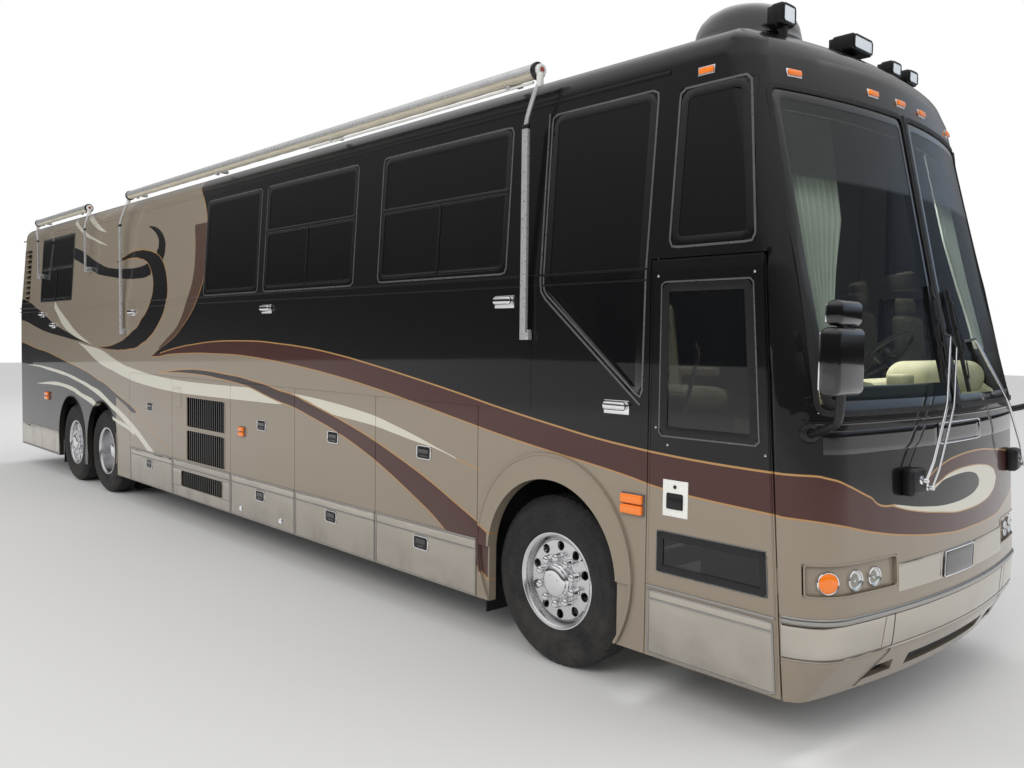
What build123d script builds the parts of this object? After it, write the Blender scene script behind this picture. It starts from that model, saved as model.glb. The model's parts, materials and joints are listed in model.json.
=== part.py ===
from build123d import *
import math
import os

os.makedirs("parts", exist_ok=True)

# A three-axle highway motor coach fitted out as a motorhome, in millimetres.
# X points forward, Y to the driver's side, Z up; the ground is Z 0 and the box's centre is X 0, Y 0.

# Driving dimensions of the shell
WALL = 60            # thickness of walls, roof, caps and doors
SKIRT_Z = 290        # lower edge of the body panels
HINGE_Z = 1560       # hinge line of the baggage doors
BELT_Z = 2380        # height at which the side starts to lean in
RAIL_Z = 3450        # joint between side wall and roof
ROOF_Z = 3665        # top of the roof at the centre line
HALF_WIDTH = 1295    # body side below the belt
RAIL_HALF = 1225     # body side at the roof rail
ROOF_EDGE_R = 175    # rounding between side and roof
REAR_CORNER_R = 150
REAR_SEAM_X = -6200  # joint between rear cap and walls
CAP_SEAM_X = 5665    # joint between front mask and walls, above the doorway
CAP_SEAM_TOP_X = 5700
BUMPER_TOP_Z = 690
FIT = 0.3            # joint between fixed neighbours
GAP = 6              # clearance round moving panels
SKIN_GLASS = 3       # depth of the glass under the outer skin
GLASS = 8            # thickness of the glass

# Doorway and its door
DOOR_REAR_X = 5651
DOOR_FRONT_X = 6479  # front edge at the skirt
DOOR_HEAD_Z = 2440
DOOR_RAKE = 0.0686   # how far the front edge leans back for each millimetre of height
HINGE_R = 5.5        # hinge tube of every panel
HINGE_IN = 3         # hinge axis under the skin
HINGE_GAP = 14       # room before the doorway's front post for the swinging edge

# Running gear
AXLE_X = {"front": 4900, "drive": -3130, "tag": -4350}
TYRE_R = 526
TYRE_HALF = 150
RIM_R = 298.5
RIM_PLANE = 1235     # outer flange of the wheel, from the centre line
RIM_WIDE = 255
TWIN_STEP = 345      # between the two wheels of a twin
KINGPIN_Y = 900
KINGPIN_R = 21.7
STUB_R = 35
RUN = 0.3            # running clearance of pins and stubs
STEER = 38           # degrees each way

# Floors
DECK_Z = 1600        # top of the saloon floor
COCKPIT_Z = 1250     # top of the cockpit floor
COCKPIT_REAR_X = 4480
BAY_FLOOR_Z = 370
BAY_ROOF_Z = 1500
BULKHEAD = 40
RAIL_Y = 420         # centre of the chassis rails
RAIL_W = 80
RAIL_LOW_Z = 760
RAIL_TOP_Z = 920

# Joints between the baggage doors, from the rear
BAY_X = [-2138, -872, 545, 1793, 3027, 4226]
GRILLE_BAY = 1

# Shell levels: height, half width, front face, radius of the front, corner radius, rear face
LEVELS = [
    (SKIRT_Z, HALF_WIDTH, 6820, 5600, 280, -6950),
    (680, HALF_WIDTH, 6820, 5600, 280, -6950),
    (1690, HALF_WIDTH, 6754, 6500, 280, -6945),
    (BELT_Z, HALF_WIDTH, 6593, 4800, 140, -6920),
    (RAIL_Z, RAIL_HALF, 6365, 3800, 190, -6830),
    (3550, RAIL_HALF, 6318, 3800, 260, -6790),
    (3612, RAIL_HALF, 6240, 3800, 320, -6715),
    (3685, RAIL_HALF, 6000, 3800, 380, -6480),
]
# The bumper tucks in under the same skin
BUMPER_LEVELS = [
    (285, HALF_WIDTH - 6, 6708, 5600, 110, -6950),
    (470, HALF_WIDTH, 6803, 5600, 240, -6950),
    (BUMPER_TOP_Z, HALF_WIDTH, 6820, 5600, 280, -6950),
]
EDGE_SLACK = 1       # the lofts stand this far outside the side profile
BELOW = 60           # how far a hollow runs on below the shell

parts = {}


def block(x0, x1, y0, y1, z0, z1):
    size = Box(x1 - x0, y1 - y0, z1 - z0)
    return Pos((x0 + x1) / 2, (y0 + y1) / 2, (z0 + z1) / 2) * size


def side_prism(points, y0, y1):
    """A polygon of (x, z) corners carried from y0 to y1."""
    outline = Polyline([(x, y0, z) for x, z in points], close=True)
    return extrude(make_face(outline), amount=y1 - y0, dir=(0, 1, 0))


def front_prism(points, x0, x1):
    """A polygon of (y, z) corners carried from x0 to x1."""
    outline = Polyline([(x0, y, z) for y, z in points], close=True)
    return extrude(make_face(outline), amount=x1 - x0, dir=(1, 0, 0))


def eased(shape, axis, size):
    """The shape with its edges along an axis chamfered."""
    return chamfer(shape.edges().filter_by(axis), size)


def rod(start, end, radius):
    run = Vector(*end) - Vector(*start)
    return extrude(Plane(origin=start, z_dir=run) * Circle(radius), amount=run.length)


def turned(profile, centre, side):
    """Revolves (radius, offset) corners about the wheel axis; offset grows away from the coach."""
    x, y, z = centre
    corners = [(x + r, y + side * w, z) for r, w in profile]
    face = make_face(Polyline(corners, close=True))
    return revolve(face, Axis(centre, (0, 1, 0)), 360)


def level_wire(level, inset):
    """One horizontal outline: arc front, rounded corners, straight sides and back."""
    height, half, front, front_r, corner, rear = level
    high = height > RAIL_Z
    z = height - (inset if high else 0)
    x_front = front - inset * (0.5 if high else 1)
    x_rear = rear + inset
    w = half + EDGE_SLACK - inset
    big = front_r - inset
    r = max(corner - inset, 20)
    rr = max(REAR_CORNER_R - inset, 20)
    cx = x_front - big
    kx = cx + math.sqrt((big - r) ** 2 - (w - r) ** 2)
    turn = math.atan2(w - r, kx - cx)
    tip = (cx + big * math.cos(turn), big * math.sin(turn))
    mid_turn = (turn + math.pi / 2) / 2
    mid = (kx + r * math.cos(mid_turn), w - r + r * math.sin(mid_turn))
    k = math.sqrt(0.5)
    edges = [
        ThreePointArc((tip[0], -tip[1], z), (x_front, 0, z), (tip[0], tip[1], z)),
        ThreePointArc((tip[0], tip[1], z), (mid[0], mid[1], z), (kx, w, z)),
        Line((kx, w, z), (x_rear + rr, w, z)),
        ThreePointArc((x_rear + rr, w, z), (x_rear + rr * (1 - k), w - rr * (1 - k), z), (x_rear, w - rr, z)),
        Line((x_rear, w - rr, z), (x_rear, rr - w, z)),
        ThreePointArc((x_rear, rr - w, z), (x_rear + rr * (1 - k), rr * (1 - k) - w, z), (x_rear + rr, -w, z)),
        Line((x_rear + rr, -w, z), (kx, -w, z)),
        ThreePointArc((kx, -w, z), (mid[0], -mid[1], z), (tip[0], -tip[1], z)),
    ]
    return Wire(edges)


def tube_profile(inset, low):
    """The body's cross section: upright sides, leaning upper sides, rounded edges and a crowned roof."""
    k = math.sqrt(0.5)
    w, top = HALF_WIDTH - inset, RAIL_HALF - inset
    r = ROOF_EDGE_R - inset
    edge = RAIL_HALF - ROOF_EDGE_R
    start = RAIL_Z
    x = -7200
    edges = [Line((x, -w, low), (x, w, low))]
    edges.append(Line((x, w, low), (x, w, BELT_Z)))
    edges.append(Line((x, w, BELT_Z), (x, top, start)))
    edges.append(ThreePointArc((x, top, start), (x, edge + r * k, start + r * k), (x, edge, start + r)))
    edges.append(ThreePointArc((x, edge, start + r), (x, 0, ROOF_Z - inset), (x, -edge, start + r)))
    edges.append(ThreePointArc((x, -edge, start + r), (x, -edge - r * k, start + r * k), (x, -top, start)))
    edges.append(Line((x, -top, start), (x, -w, BELT_Z)))
    edges.append(Line((x, -w, BELT_Z), (x, -w, low)))
    return make_face(Wire(edges))


def envelope(inset, levels=LEVELS, low=SKIRT_Z):
    """The whole closed body, drawn in by inset on every side but the bottom."""
    first = levels[0]
    rows = [(low,) + first[1:]] + list(levels[1:]) if low != first[0] else list(levels)
    body = loft([make_face(level_wire(row, inset)) for row in rows], ruled=True)
    return body & extrude(tube_profile(inset, low - 1), amount=14400, dir=(1, 0, 0))


def door_front(z):
    return DOOR_FRONT_X - (z - SKIRT_Z) * DOOR_RAKE


def skin_y(x, z):
    """Half width of the outer skin at a place on the side."""
    line = Line((x, 0, z), (x, 2000, z))
    return (line & OUTER).bounding_box().max.Y


OUTER = envelope(0)
INNER = envelope(WALL, low=SKIRT_Z - BELOW)
ROOM = envelope(WALL + FIT, low=SKIRT_Z - BELOW)
SHELL = OUTER - INNER
PANE = envelope(SKIN_GLASS, low=SKIRT_Z + 1) - envelope(SKIN_GLASS + GLASS, low=SKIRT_Z - BELOW)
PROUD = envelope(-FIT)

FAR = 7200           # past either end
OUT = 1400           # past either side
TOP = 3800           # past the roof

# Window outlines, as (x, z) corners; the same on both sides unless a side is given
SIDE_WINDOWS = [
    ("rear", [(-5770, 2470), (-4300, 2470), (-4300, 3380), (-5770, 3380)], (-1, 1)),
    ("saloon_rear", [(-60, 2410), (1100, 2410), (1100, 3355), (-60, 3355)], (-1, 1)),
    ("saloon_mid", [(1210, 2410), (2700, 2410), (2700, 3355), (1210, 3355)], (-1, 1)),
    ("saloon_front", [(3040, 2420), (4480, 2420), (4480, 3350), (3040, 3350)], (-1, 1)),
    ("cockpit", [(4825, 2300), (5575, 1700), (5600, 1700), (5630, 3360), (4825, 3360)], (-1,)),
    ("cockpit", [(4825, 1900), (5560, 1900), (5590, 3360), (4825, 3360)], (1,)),
    ("driver", [(5720, 1720), (6290, 1720), (6250, 2330), (5720, 2330)], (1,)),
    ("over_door", [(5760, 2500), (6280, 2500), (6200, 3330), (5775, 3330)], (-1, 1)),
]


def shrunk(points, by):
    """The outline moved in by a distance on every side."""
    return [(p.X, p.Z) for p in offset_corners(points, by)]


def offset_corners(points, by):
    corners = []
    count = len(points)
    for i in range(count):
        before = Vector(points[i - 1][0], 0, points[i - 1][1])
        here = Vector(points[i][0], 0, points[i][1])
        after = Vector(points[(i + 1) % count][0], 0, points[(i + 1) % count][1])
        a = (here - before).normalized()
        b = (after - here).normalized()
        inward_a, inward_b = Vector(-a.Z, 0, a.X), Vector(-b.Z, 0, b.X)
        bisector = inward_a + inward_b
        corners.append(here + bisector * (by / (1 + inward_a.dot(inward_b))))
    return corners


def one_side(side):
    """Y range of the half of the coach on a side: -1 is the kerb side, 1 the driver's side."""
    return (-OUT, -600) if side < 0 else (600, OUT)


def window_tool(points, side, by=0.0):
    low, high = one_side(side)
    return side_prism(shrunk(points, by), low, high)


# Walls, roof and caps
WALL_LOW = HINGE_Z + GAP
wall_front = {
    -1: [(DOOR_REAR_X - GAP, WALL_LOW), (DOOR_REAR_X - GAP, DOOR_HEAD_Z + GAP - FIT)],
    1: [
        (door_front(WALL_LOW) + GAP - FIT, WALL_LOW),
        (door_front(DOOR_HEAD_Z) + GAP - FIT, DOOR_HEAD_Z + GAP - FIT),
    ],
}
for side, name in ((-1, "wall_right"), (1, "wall_left")):
    outline = [(REAR_SEAM_X, WALL_LOW)] + wall_front[side]
    outline += [
        (CAP_SEAM_X - FIT, DOOR_HEAD_Z + GAP - FIT),
        (CAP_SEAM_TOP_X - FIT, RAIL_Z - FIT),
        (REAR_SEAM_X, RAIL_Z - FIT),
    ]
    low, high = one_side(side)
    wall = SHELL & side_prism(outline, low, high)
    for window, points, sides in SIDE_WINDOWS:
        if side in sides and window != "over_door":
            wall -= window_tool(points, side)
    parts[name] = wall

roof_outline = [
    (REAR_SEAM_X, RAIL_Z),
    (CAP_SEAM_TOP_X - FIT, RAIL_Z),
    (CAP_SEAM_TOP_X + 8, TOP),
    (REAR_SEAM_X, TOP),
]
parts["roof"] = SHELL & side_prism(roof_outline, -OUT, OUT)

# Front mask with windscreen, over-door windows and lamp pockets
SCREEN = [(-1215, 1672), (1215, 1672), (1135, 3290), (-1135, 3290)]
POST_HALF = 22       # half the centre post of the windscreen
LAMP_LOW_Z = 800
LAMP_TOP_Z = 960
LAMP_Y = (700, 1265)

mask_outline = [
    (door_front(BUMPER_TOP_Z) + HINGE_GAP, BUMPER_TOP_Z + FIT),
    (FAR, BUMPER_TOP_Z + FIT),
    (FAR, TOP),
    (CAP_SEAM_TOP_X + 8 + FIT, TOP),
    (CAP_SEAM_TOP_X, RAIL_Z),
    (CAP_SEAM_X, DOOR_HEAD_Z + GAP),
    (door_front(DOOR_HEAD_Z) + HINGE_GAP, DOOR_HEAD_Z + GAP),
]
mask = SHELL & side_prism(mask_outline, -OUT, OUT)
for side in (-1, 1):
    edge_low, edge_top = side * SCREEN[1][0], side * SCREEN[2][0]
    half = [(side * POST_HALF, SCREEN[0][1]), (edge_low, SCREEN[0][1]), (edge_top, SCREEN[2][1])]
    half.append((side * POST_HALF, SCREEN[2][1]))
    mask -= front_prism(half, 6000, FAR)
    for window, points, sides in SIDE_WINDOWS:
        if window == "over_door":
            mask -= window_tool(points, side)
LAMP_FRONT_X = 6480
pocket = front_prism(
    [(LAMP_Y[0], LAMP_LOW_Z), (LAMP_Y[1], LAMP_LOW_Z), (LAMP_Y[1], LAMP_TOP_Z), (LAMP_Y[0], LAMP_TOP_Z)],
    LAMP_FRONT_X,
    FAR,
)
for tool in (pocket, mirror(pocket, Plane.XZ)):
    mask -= tool
parts["front_mask"] = mask

# Lamp panels: a backing plate with three round lamps each side
LAMP_Z = 872
# lamps: distance from the centre line, radius
LAMPS = [(1140, 42), (1015, 38), (885, 38)]
PANEL_DEPTH = 22
plate_shell = envelope(PANEL_DEPTH, low=SKIRT_Z + 1) - envelope(WALL, low=SKIRT_Z - BELOW)
lamp_face = envelope(4, low=SKIRT_Z + 1)
plate_tool = front_prism(
    [
        (LAMP_Y[0] + FIT, LAMP_LOW_Z + FIT),
        (LAMP_Y[1] - FIT, LAMP_LOW_Z + FIT),
        (LAMP_Y[1] - FIT, LAMP_TOP_Z - FIT),
        (LAMP_Y[0] + FIT, LAMP_TOP_Z - FIT),
    ],
    LAMP_FRONT_X + FIT,
    FAR,
)
panel = plate_shell & plate_tool
lenses = Part()
for y, radius in LAMPS:
    lenses += rod((LAMP_FRONT_X + 60, y, LAMP_Z), (FAR, y, LAMP_Z), radius)
lenses = (lenses & lamp_face) - envelope(PANEL_DEPTH + 5, low=SKIRT_Z - BELOW)
panel = panel + lenses
parts["head_lamps"] = panel + mirror(panel, Plane.XZ)

# Front bumper with a central slot and two side ducts
bumper = envelope(0, BUMPER_LEVELS, 285) - envelope(WALL, BUMPER_LEVELS, 285 - BELOW)
bumper &= side_prism(
    [
        (door_front(280) + HINGE_GAP, 280),
        (FAR, 280),
        (FAR, BUMPER_TOP_Z - 0.01),
        (door_front(BUMPER_TOP_Z - 0.01) + HINGE_GAP, BUMPER_TOP_Z - 0.01),
    ],
    -OUT,
    OUT,
)
SLOTS = [
    [(-480, 335), (480, 335), (500, 408), (-500, 408)],
    [(610, 340), (870, 330), (790, 400), (640, 405)],
    [(-870, 330), (-610, 340), (-640, 405), (-790, 400)],
]
for points in SLOTS:
    bumper -= front_prism(points, 6400, FAR)
parts["front_bumper"] = bumper

# Windscreen panes and side glass
screen = Part()
for side in (-1, 1):
    inner, low, top = POST_HALF + FIT, SCREEN[0][1] + FIT, SCREEN[2][1] - FIT
    pane = [(side * inner, low), (side * (SCREEN[1][0] - FIT), low)]
    pane += [(side * (SCREEN[2][0] - FIT), top), (side * inner, top)]
    screen += PANE & front_prism(pane, 6000, FAR)
parts["windscreen"] = screen

glass = Part()
for window, points, sides in SIDE_WINDOWS:
    for side in sides:
        glass += PANE & window_tool(points, side, FIT)
parts["side_glass"] = glass

# Rear cap with louvres and the engine opening
ENGINE_HALF = 940
ENGINE_LOW_Z = 760
ENGINE_TOP_Z = 1700
REAR_BUMPER_Z = 615
cap_outline = [(-FAR, REAR_BUMPER_Z + FIT), (REAR_SEAM_X - FIT, REAR_BUMPER_Z + FIT)]
cap_outline += [(REAR_SEAM_X - FIT, TOP), (-FAR, TOP)]
cap = SHELL & side_prism(cap_outline, -OUT, OUT)
cap -= block(-FAR, -6700, -ENGINE_HALF, ENGINE_HALF, ENGINE_LOW_Z, ENGINE_TOP_Z)
LOUVRE = (-6700, -6330, 2480, 3280)
SLAT_STEP = 80
cap -= block(LOUVRE[0], LOUVRE[1], -OUT, OUT, LOUVRE[2], LOUVRE[3])
slat_z = LOUVRE[2] + SLAT_STEP / 2
while slat_z < LOUVRE[3]:
    slat = [(HALF_WIDTH - 6, slat_z - 26), (HALF_WIDTH - WALL, slat_z + 14)]
    slat += [(HALF_WIDTH - WALL, slat_z + 26), (HALF_WIDTH - 6, slat_z - 14)]
    shift = (slat_z - BELT_Z) * (HALF_WIDTH - RAIL_HALF) / (RAIL_Z - BELT_Z)
    bar = front_prism([(y - shift, z) for y, z in slat], LOUVRE[0] - 10, LOUVRE[1] + 10)
    cap += bar + mirror(bar, Plane.XZ)
    slat_z += SLAT_STEP
parts["rear_cap"] = cap

parts["rear_bumper"] = SHELL & side_prism(
    [(-FAR, SKIRT_Z), (REAR_SEAM_X - FIT, SKIRT_Z), (REAR_SEAM_X - FIT, REAR_BUMPER_Z), (-FAR, REAR_BUMPER_Z)],
    -OUT,
    OUT,
)

# Engine door, hinged along its top edge
engine_door = SHELL & block(
    -FAR, -6700, GAP - ENGINE_HALF, ENGINE_HALF - GAP, ENGINE_LOW_Z + GAP, ENGINE_TOP_Z - 2 * GAP + 1
)
rear_x = (Line((-FAR, 0, ENGINE_TOP_Z - GAP), (0, 0, ENGINE_TOP_Z - GAP)) & OUTER).bounding_box().min.X
ENGINE_HINGE = (rear_x + HINGE_IN, 0, ENGINE_TOP_Z - GAP)
engine_door += rod(
    (ENGINE_HINGE[0], GAP - ENGINE_HALF, ENGINE_HINGE[2]),
    (ENGINE_HINGE[0], ENGINE_HALF - GAP, ENGINE_HINGE[2]),
    HINGE_R,
)
VENT_Z = (1180, 1560)
for slot in range(6):
    z = VENT_Z[0] + slot * (VENT_Z[1] - VENT_Z[0]) / 5
    engine_door -= block(-FAR, -6700, -700, 700, z - 16, z + 16)
parts["engine_door"] = engine_door

# Fixed lower panels beside the wheels, with their arches and flares
ARCH_R = 548
ARCH_Z = 612
FLARE_R = 660
FLARE_Z = 660
FLARE_OUT = 18


def arch_tool(x, side, radius, z):
    low, high = one_side(side)
    tunnel = rod((x, low, z), (x, high, z), radius)
    return tunnel + block(x - radius, x + radius, low, high, SKIRT_Z - 80, z)


fender_front, fender_rear = Part(), Part()
for side in (-1, 1):
    low, high = one_side(side)
    ahead = door_front(SKIRT_Z) + GAP - FIT if side > 0 else DOOR_REAR_X - GAP
    ahead_top = door_front(WALL_LOW - FIT) + GAP - FIT if side > 0 else DOOR_REAR_X - GAP
    outline = [(BAY_X[-1] + GAP / 2, SKIRT_Z), (ahead, SKIRT_Z), (ahead_top, WALL_LOW - FIT)]
    outline.append((BAY_X[-1] + GAP / 2, WALL_LOW - FIT))
    panel = SHELL & side_prism(outline, low, high)
    face = side * (HALF_WIDTH - 2)
    lip = side * (HALF_WIDTH + FLARE_OUT)
    x = AXLE_X["front"]
    ring = rod((x, face, FLARE_Z), (x, lip, FLARE_Z), FLARE_R)
    ring = chamfer(ring.edges().filter_by(GeomType.CIRCLE).sort_by(Axis.Y)[0 if side < 0 else -1], 14)
    ring &= block(x - 900, x + 900, -OUT, OUT, ARCH_Z + 40, 1500)
    fender_front += (panel + ring) - arch_tool(x, side, ARCH_R, ARCH_Z)
    outline = [(REAR_SEAM_X, SKIRT_Z), (BAY_X[0] - GAP / 2, SKIRT_Z)]
    outline += [(BAY_X[0] - GAP / 2, WALL_LOW - FIT), (REAR_SEAM_X, WALL_LOW - FIT)]
    panel = SHELL & side_prism(outline, low, high)
    for axle in ("drive", "tag"):
        panel -= arch_tool(AXLE_X[axle], side, ARCH_R + 12, ARCH_Z - 12)
    fender_rear += panel
parts["fenders_front"] = fender_front
parts["fenders_rear"] = fender_rear

# Entry door
DOOR_GLASS = [
    [(5722, 1500), (door_front(1500) - 62, 1500), (door_front(2320) - 62, 2320), (5722, 2320)],
    [(5722, 765), (door_front(765) - 45, 765), (door_front(990) - 45, 990), (5722, 990)],
]
HINGE_TOP_Z = DOOR_HEAD_Z - 10
door_outline = [
    (DOOR_REAR_X, SKIRT_Z),
    (door_front(SKIRT_Z) - HINGE_R + 1, SKIRT_Z),
    (door_front(DOOR_HEAD_Z) - HINGE_R + 1, DOOR_HEAD_Z),
    (DOOR_REAR_X, DOOR_HEAD_Z),
]
door = SHELL & side_prism(door_outline, -OUT, -600)
DOOR_HINGE_LOW = (door_front(SKIRT_Z), HINGE_IN - skin_y(door_front(SKIRT_Z + 2), SKIRT_Z + 2), SKIRT_Z)
DOOR_HINGE_TOP = (
    door_front(HINGE_TOP_Z),
    HINGE_IN - skin_y(door_front(HINGE_TOP_Z), HINGE_TOP_Z),
    HINGE_TOP_Z,
)
door += rod(DOOR_HINGE_LOW, DOOR_HINGE_TOP, HINGE_R)
for points in DOOR_GLASS:
    door -= side_prism(points, -OUT, -600)
LATCH = (5725, 5885, 1070, 1275)
door -= block(LATCH[0] + 30, LATCH[1] - 30, -OUT, 22 - HALF_WIDTH, LATCH[2] + 30, LATCH[3] - 75)
parts["entry_door"] = door
# three fixed leaves on the post hold the door's hinge tube
HINGE_LEAVES = [(800, 920), (1500, 1620), (2260, 2380)]
hinge_room = rod(DOOR_HINGE_LOW, DOOR_HINGE_TOP, HINGE_R + 0.4)
for low_z, top_z in HINGE_LEAVES:
    share = ((low_z + top_z) / 2 - DOOR_HINGE_LOW[2]) / (DOOR_HINGE_TOP[2] - DOOR_HINGE_LOW[2])
    leaf_y = DOOR_HINGE_LOW[1] * (1 - share) + DOOR_HINGE_TOP[1] * share + 0.5
    near_low, near_top = door_front(low_z) + 3, door_front(top_z) + 3
    leaf = side_prism(
        [(near_low, low_z), (near_low + 20, low_z), (near_top + 20, top_z), (near_top, top_z)],
        leaf_y,
        leaf_y + 20,
    )
    parts["front_mask"] += leaf - hinge_room
door_glass = Part()
for points in DOOR_GLASS:
    door_glass += PANE & side_prism(shrunk(points, FIT), -OUT, -600)
parts["entry_door_glass"] = door_glass

# Baggage doors, each hinged along its top edge
GRILLES = [
    # x0, x1, z0, z1
    (-477, 417, 1056, 1360),
    (-482, 413, 700, 1012),
    (-635, 368, 408, 572),
]
BAR = 16
BAR_STEP = 50


def grille_cut(panel, side):
    low, high = one_side(side)
    for x0, x1, z0, z1 in GRILLES:
        panel -= block(x0, x1, low, high, z0, z1)
        count = round((x1 - x0) / BAR_STEP)
        for i in range(1, count):
            x = x0 + i * (x1 - x0) / count
            depth = sorted((side * (HALF_WIDTH - 8), side * (HALF_WIDTH - 40)))
            panel += block(x - BAR / 2, x + BAR / 2, depth[0], depth[1], z0 - 1, z1 + 1)
    return panel


for side, hand in ((-1, "right"), (1, "left")):
    low, high = one_side(side)
    for bay in range(len(BAY_X) - 1):
        x0, x1 = BAY_X[bay] + GAP / 2, BAY_X[bay + 1] - GAP / 2
        panel = SHELL & block(x0, x1, low, high, SKIRT_Z, HINGE_Z - HINGE_R + 1)
        axis_y = side * (HALF_WIDTH - HINGE_IN)
        panel += rod((x0, axis_y, HINGE_Z), (x1, axis_y, HINGE_Z), HINGE_R)
        if bay == GRILLE_BAY:
            panel = grille_cut(panel, side)
        parts[f"bay_door_{hand}_{bay + 1}"] = panel

# Floors, bulkheads and the chassis rails
DOOR_CLEAR = HALF_WIDTH - WALL - GAP
deck = block(-6860, COCKPIT_REAR_X + 40, -DOOR_CLEAR, DOOR_CLEAR, BAY_ROOF_Z, DECK_Z - 30)
deck += block(-6860, COCKPIT_REAR_X + 40, -OUT, OUT, DECK_Z - 30, DECK_Z)
deck += block(COCKPIT_REAR_X, COCKPIT_REAR_X + 40, -OUT, OUT, COCKPIT_Z - 50, DECK_Z)
deck += block(COCKPIT_REAR_X, FAR, -OUT, OUT, COCKPIT_Z - 50, COCKPIT_Z)
WELL_X = (DOOR_REAR_X - GAP - 1, DOOR_FRONT_X - 10)
WELL_Y = -350
deck -= block(WELL_X[0], WELL_X[1], -OUT, WELL_Y, COCKPIT_Z - 60, COCKPIT_Z + 10)
REAR_BULKHEAD_X = -4960
deck += block(
    REAR_BULKHEAD_X - BULKHEAD / 2, REAR_BULKHEAD_X + BULKHEAD / 2, -DOOR_CLEAR, DOOR_CLEAR, RAIL_TOP_Z + FIT, DECK_Z - 30
)
parts["deck"] = deck & ROOM

bay_frame = block(BAY_X[0] - 20, BAY_X[-1] + 20, -DOOR_CLEAR, DOOR_CLEAR, BAY_FLOOR_Z - 40, BAY_FLOOR_Z)
for x in BAY_X:
    bay_frame += block(
        x - BULKHEAD / 2, x + BULKHEAD / 2, -DOOR_CLEAR, DOOR_CLEAR, BAY_FLOOR_Z - 40, BAY_ROOF_Z
    )
parts["bay_frame"] = bay_frame

RAIL_REAR_X = -6560
RAIL_RUNS = [
    # rear end, front end, underside of the floor above, posts up to it
    (RAIL_REAR_X, BAY_X[0] - BULKHEAD / 2, BAY_ROOF_Z, (-6300, -5040, -3700, -2300)),
    (BAY_X[-1] + BULKHEAD / 2, 6590, COCKPIT_Z - 50, (4300, 5500, 6530)),
]
RAIL_IN = RAIL_Y - RAIL_W / 2
RAIL_OUT = RAIL_Y + RAIL_W / 2
members = []
for x0, x1, floor, posts in RAIL_RUNS:
    for side in (-1, 1):
        y0, y1 = sorted((side * RAIL_IN, side * RAIL_OUT))
        members.append(block(x0, x1, y0, y1, RAIL_LOW_Z, RAIL_TOP_Z))
        for x in posts:
            members.append(block(x - 40, x + 40, y0, y1, RAIL_TOP_Z + FIT, floor))
    for x in posts[1:] if x0 == RAIL_REAR_X else posts:
        members.append(block(x - 40, x + 40, FIT - RAIL_IN, RAIL_IN - FIT, RAIL_TOP_Z - 120, RAIL_TOP_Z - 20))
# tow tongue under the rear bumper, with an upright bore for a tow pin
TONGUE_Z = (240, 272)
TOW_X = -6890
TOW_R = 14
members.append(block(RAIL_REAR_X, RAIL_REAR_X + 60, FIT - RAIL_IN, RAIL_IN - FIT, RAIL_LOW_Z, RAIL_LOW_Z + 80))
members.append(block(RAIL_REAR_X, RAIL_REAR_X + 60, -60, 60, TONGUE_Z[1] + FIT, RAIL_LOW_Z - FIT))
tongue = block(-6945, RAIL_REAR_X + 60, -60, 60, *TONGUE_Z)
members.append(tongue - rod((TOW_X, 0, TONGUE_Z[0] - 5), (TOW_X, 0, TONGUE_Z[1] + 5), TOW_R))
rails = Compound(children=members)
parts["chassis_rails"] = rails

# Entry steps, a folded plate that climbs inboard: outer edge of each tread and its height
TREADS = [(-1222, 380), (-1000, 598), (-782, 816), (-566, 1034)]
PLATE = 30
steps = Part()
for i, (y, z) in enumerate(TREADS):
    last = i == len(TREADS) - 1
    next_y, next_z = (WELL_Y - FIT - PLATE, COCKPIT_Z + PLATE) if last else TREADS[i + 1]
    steps += block(WELL_X[0] + 3, WELL_X[1] - 3, y, next_y + PLATE, z - PLATE, z)
    steps += block(WELL_X[0] + 3, WELL_X[1] - 3, next_y, next_y + PLATE, z - PLATE, next_z - PLATE)
parts["entry_steps"] = steps & envelope(WALL + GAP, low=SKIRT_Z - BELOW)

# Wheels: tyres and pressed rims turned about the axle line
RIM_SEAT_R = 286
TYRE = [
    # radius, offset from the rim's outer flange; the other half mirrors about the middle
    (RIM_SEAT_R + FIT, -12.5),
    (RIM_R + 1.5, -12.5),
    (372, 21),
    (468, 17),
    (TYRE_R, -30),
]


def tyre(centre, side):
    """A tyre's ring, with its outer flange plane at the given centre."""
    inner = [(r, -RIM_WIDE - w) for r, w in reversed(TYRE)]
    return turned(TYRE + inner, centre, side)


# Radius and offset round the rim's barrel
BARREL = [
    (RIM_R, 0), (RIM_R, -12), (RIM_SEAT_R, -12), (RIM_SEAT_R, -243), (RIM_R, -243),
    (RIM_R, -RIM_WIDE), (270, -RIM_WIDE), (270, 0),
]
DISC_THICK = 20
STUB_END = -100      # end of the axle's stub, from the outer flange
HUB_BACK = -228
DISCS = {
    # outer edge and bend of the disc's face; hub radius, outer and inner end
    "steer": ((272, -84), (243, -46), 92, 12, HUB_BACK),
    "drive": ((272, -184), (243, -230), 104, -60, -250),
    "inner": ((272, -70), (190, 95), 104, 95, -100),
}
HOLES = 10
HOLE_R = 27
HOLE_PITCH_R = 212


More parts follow.
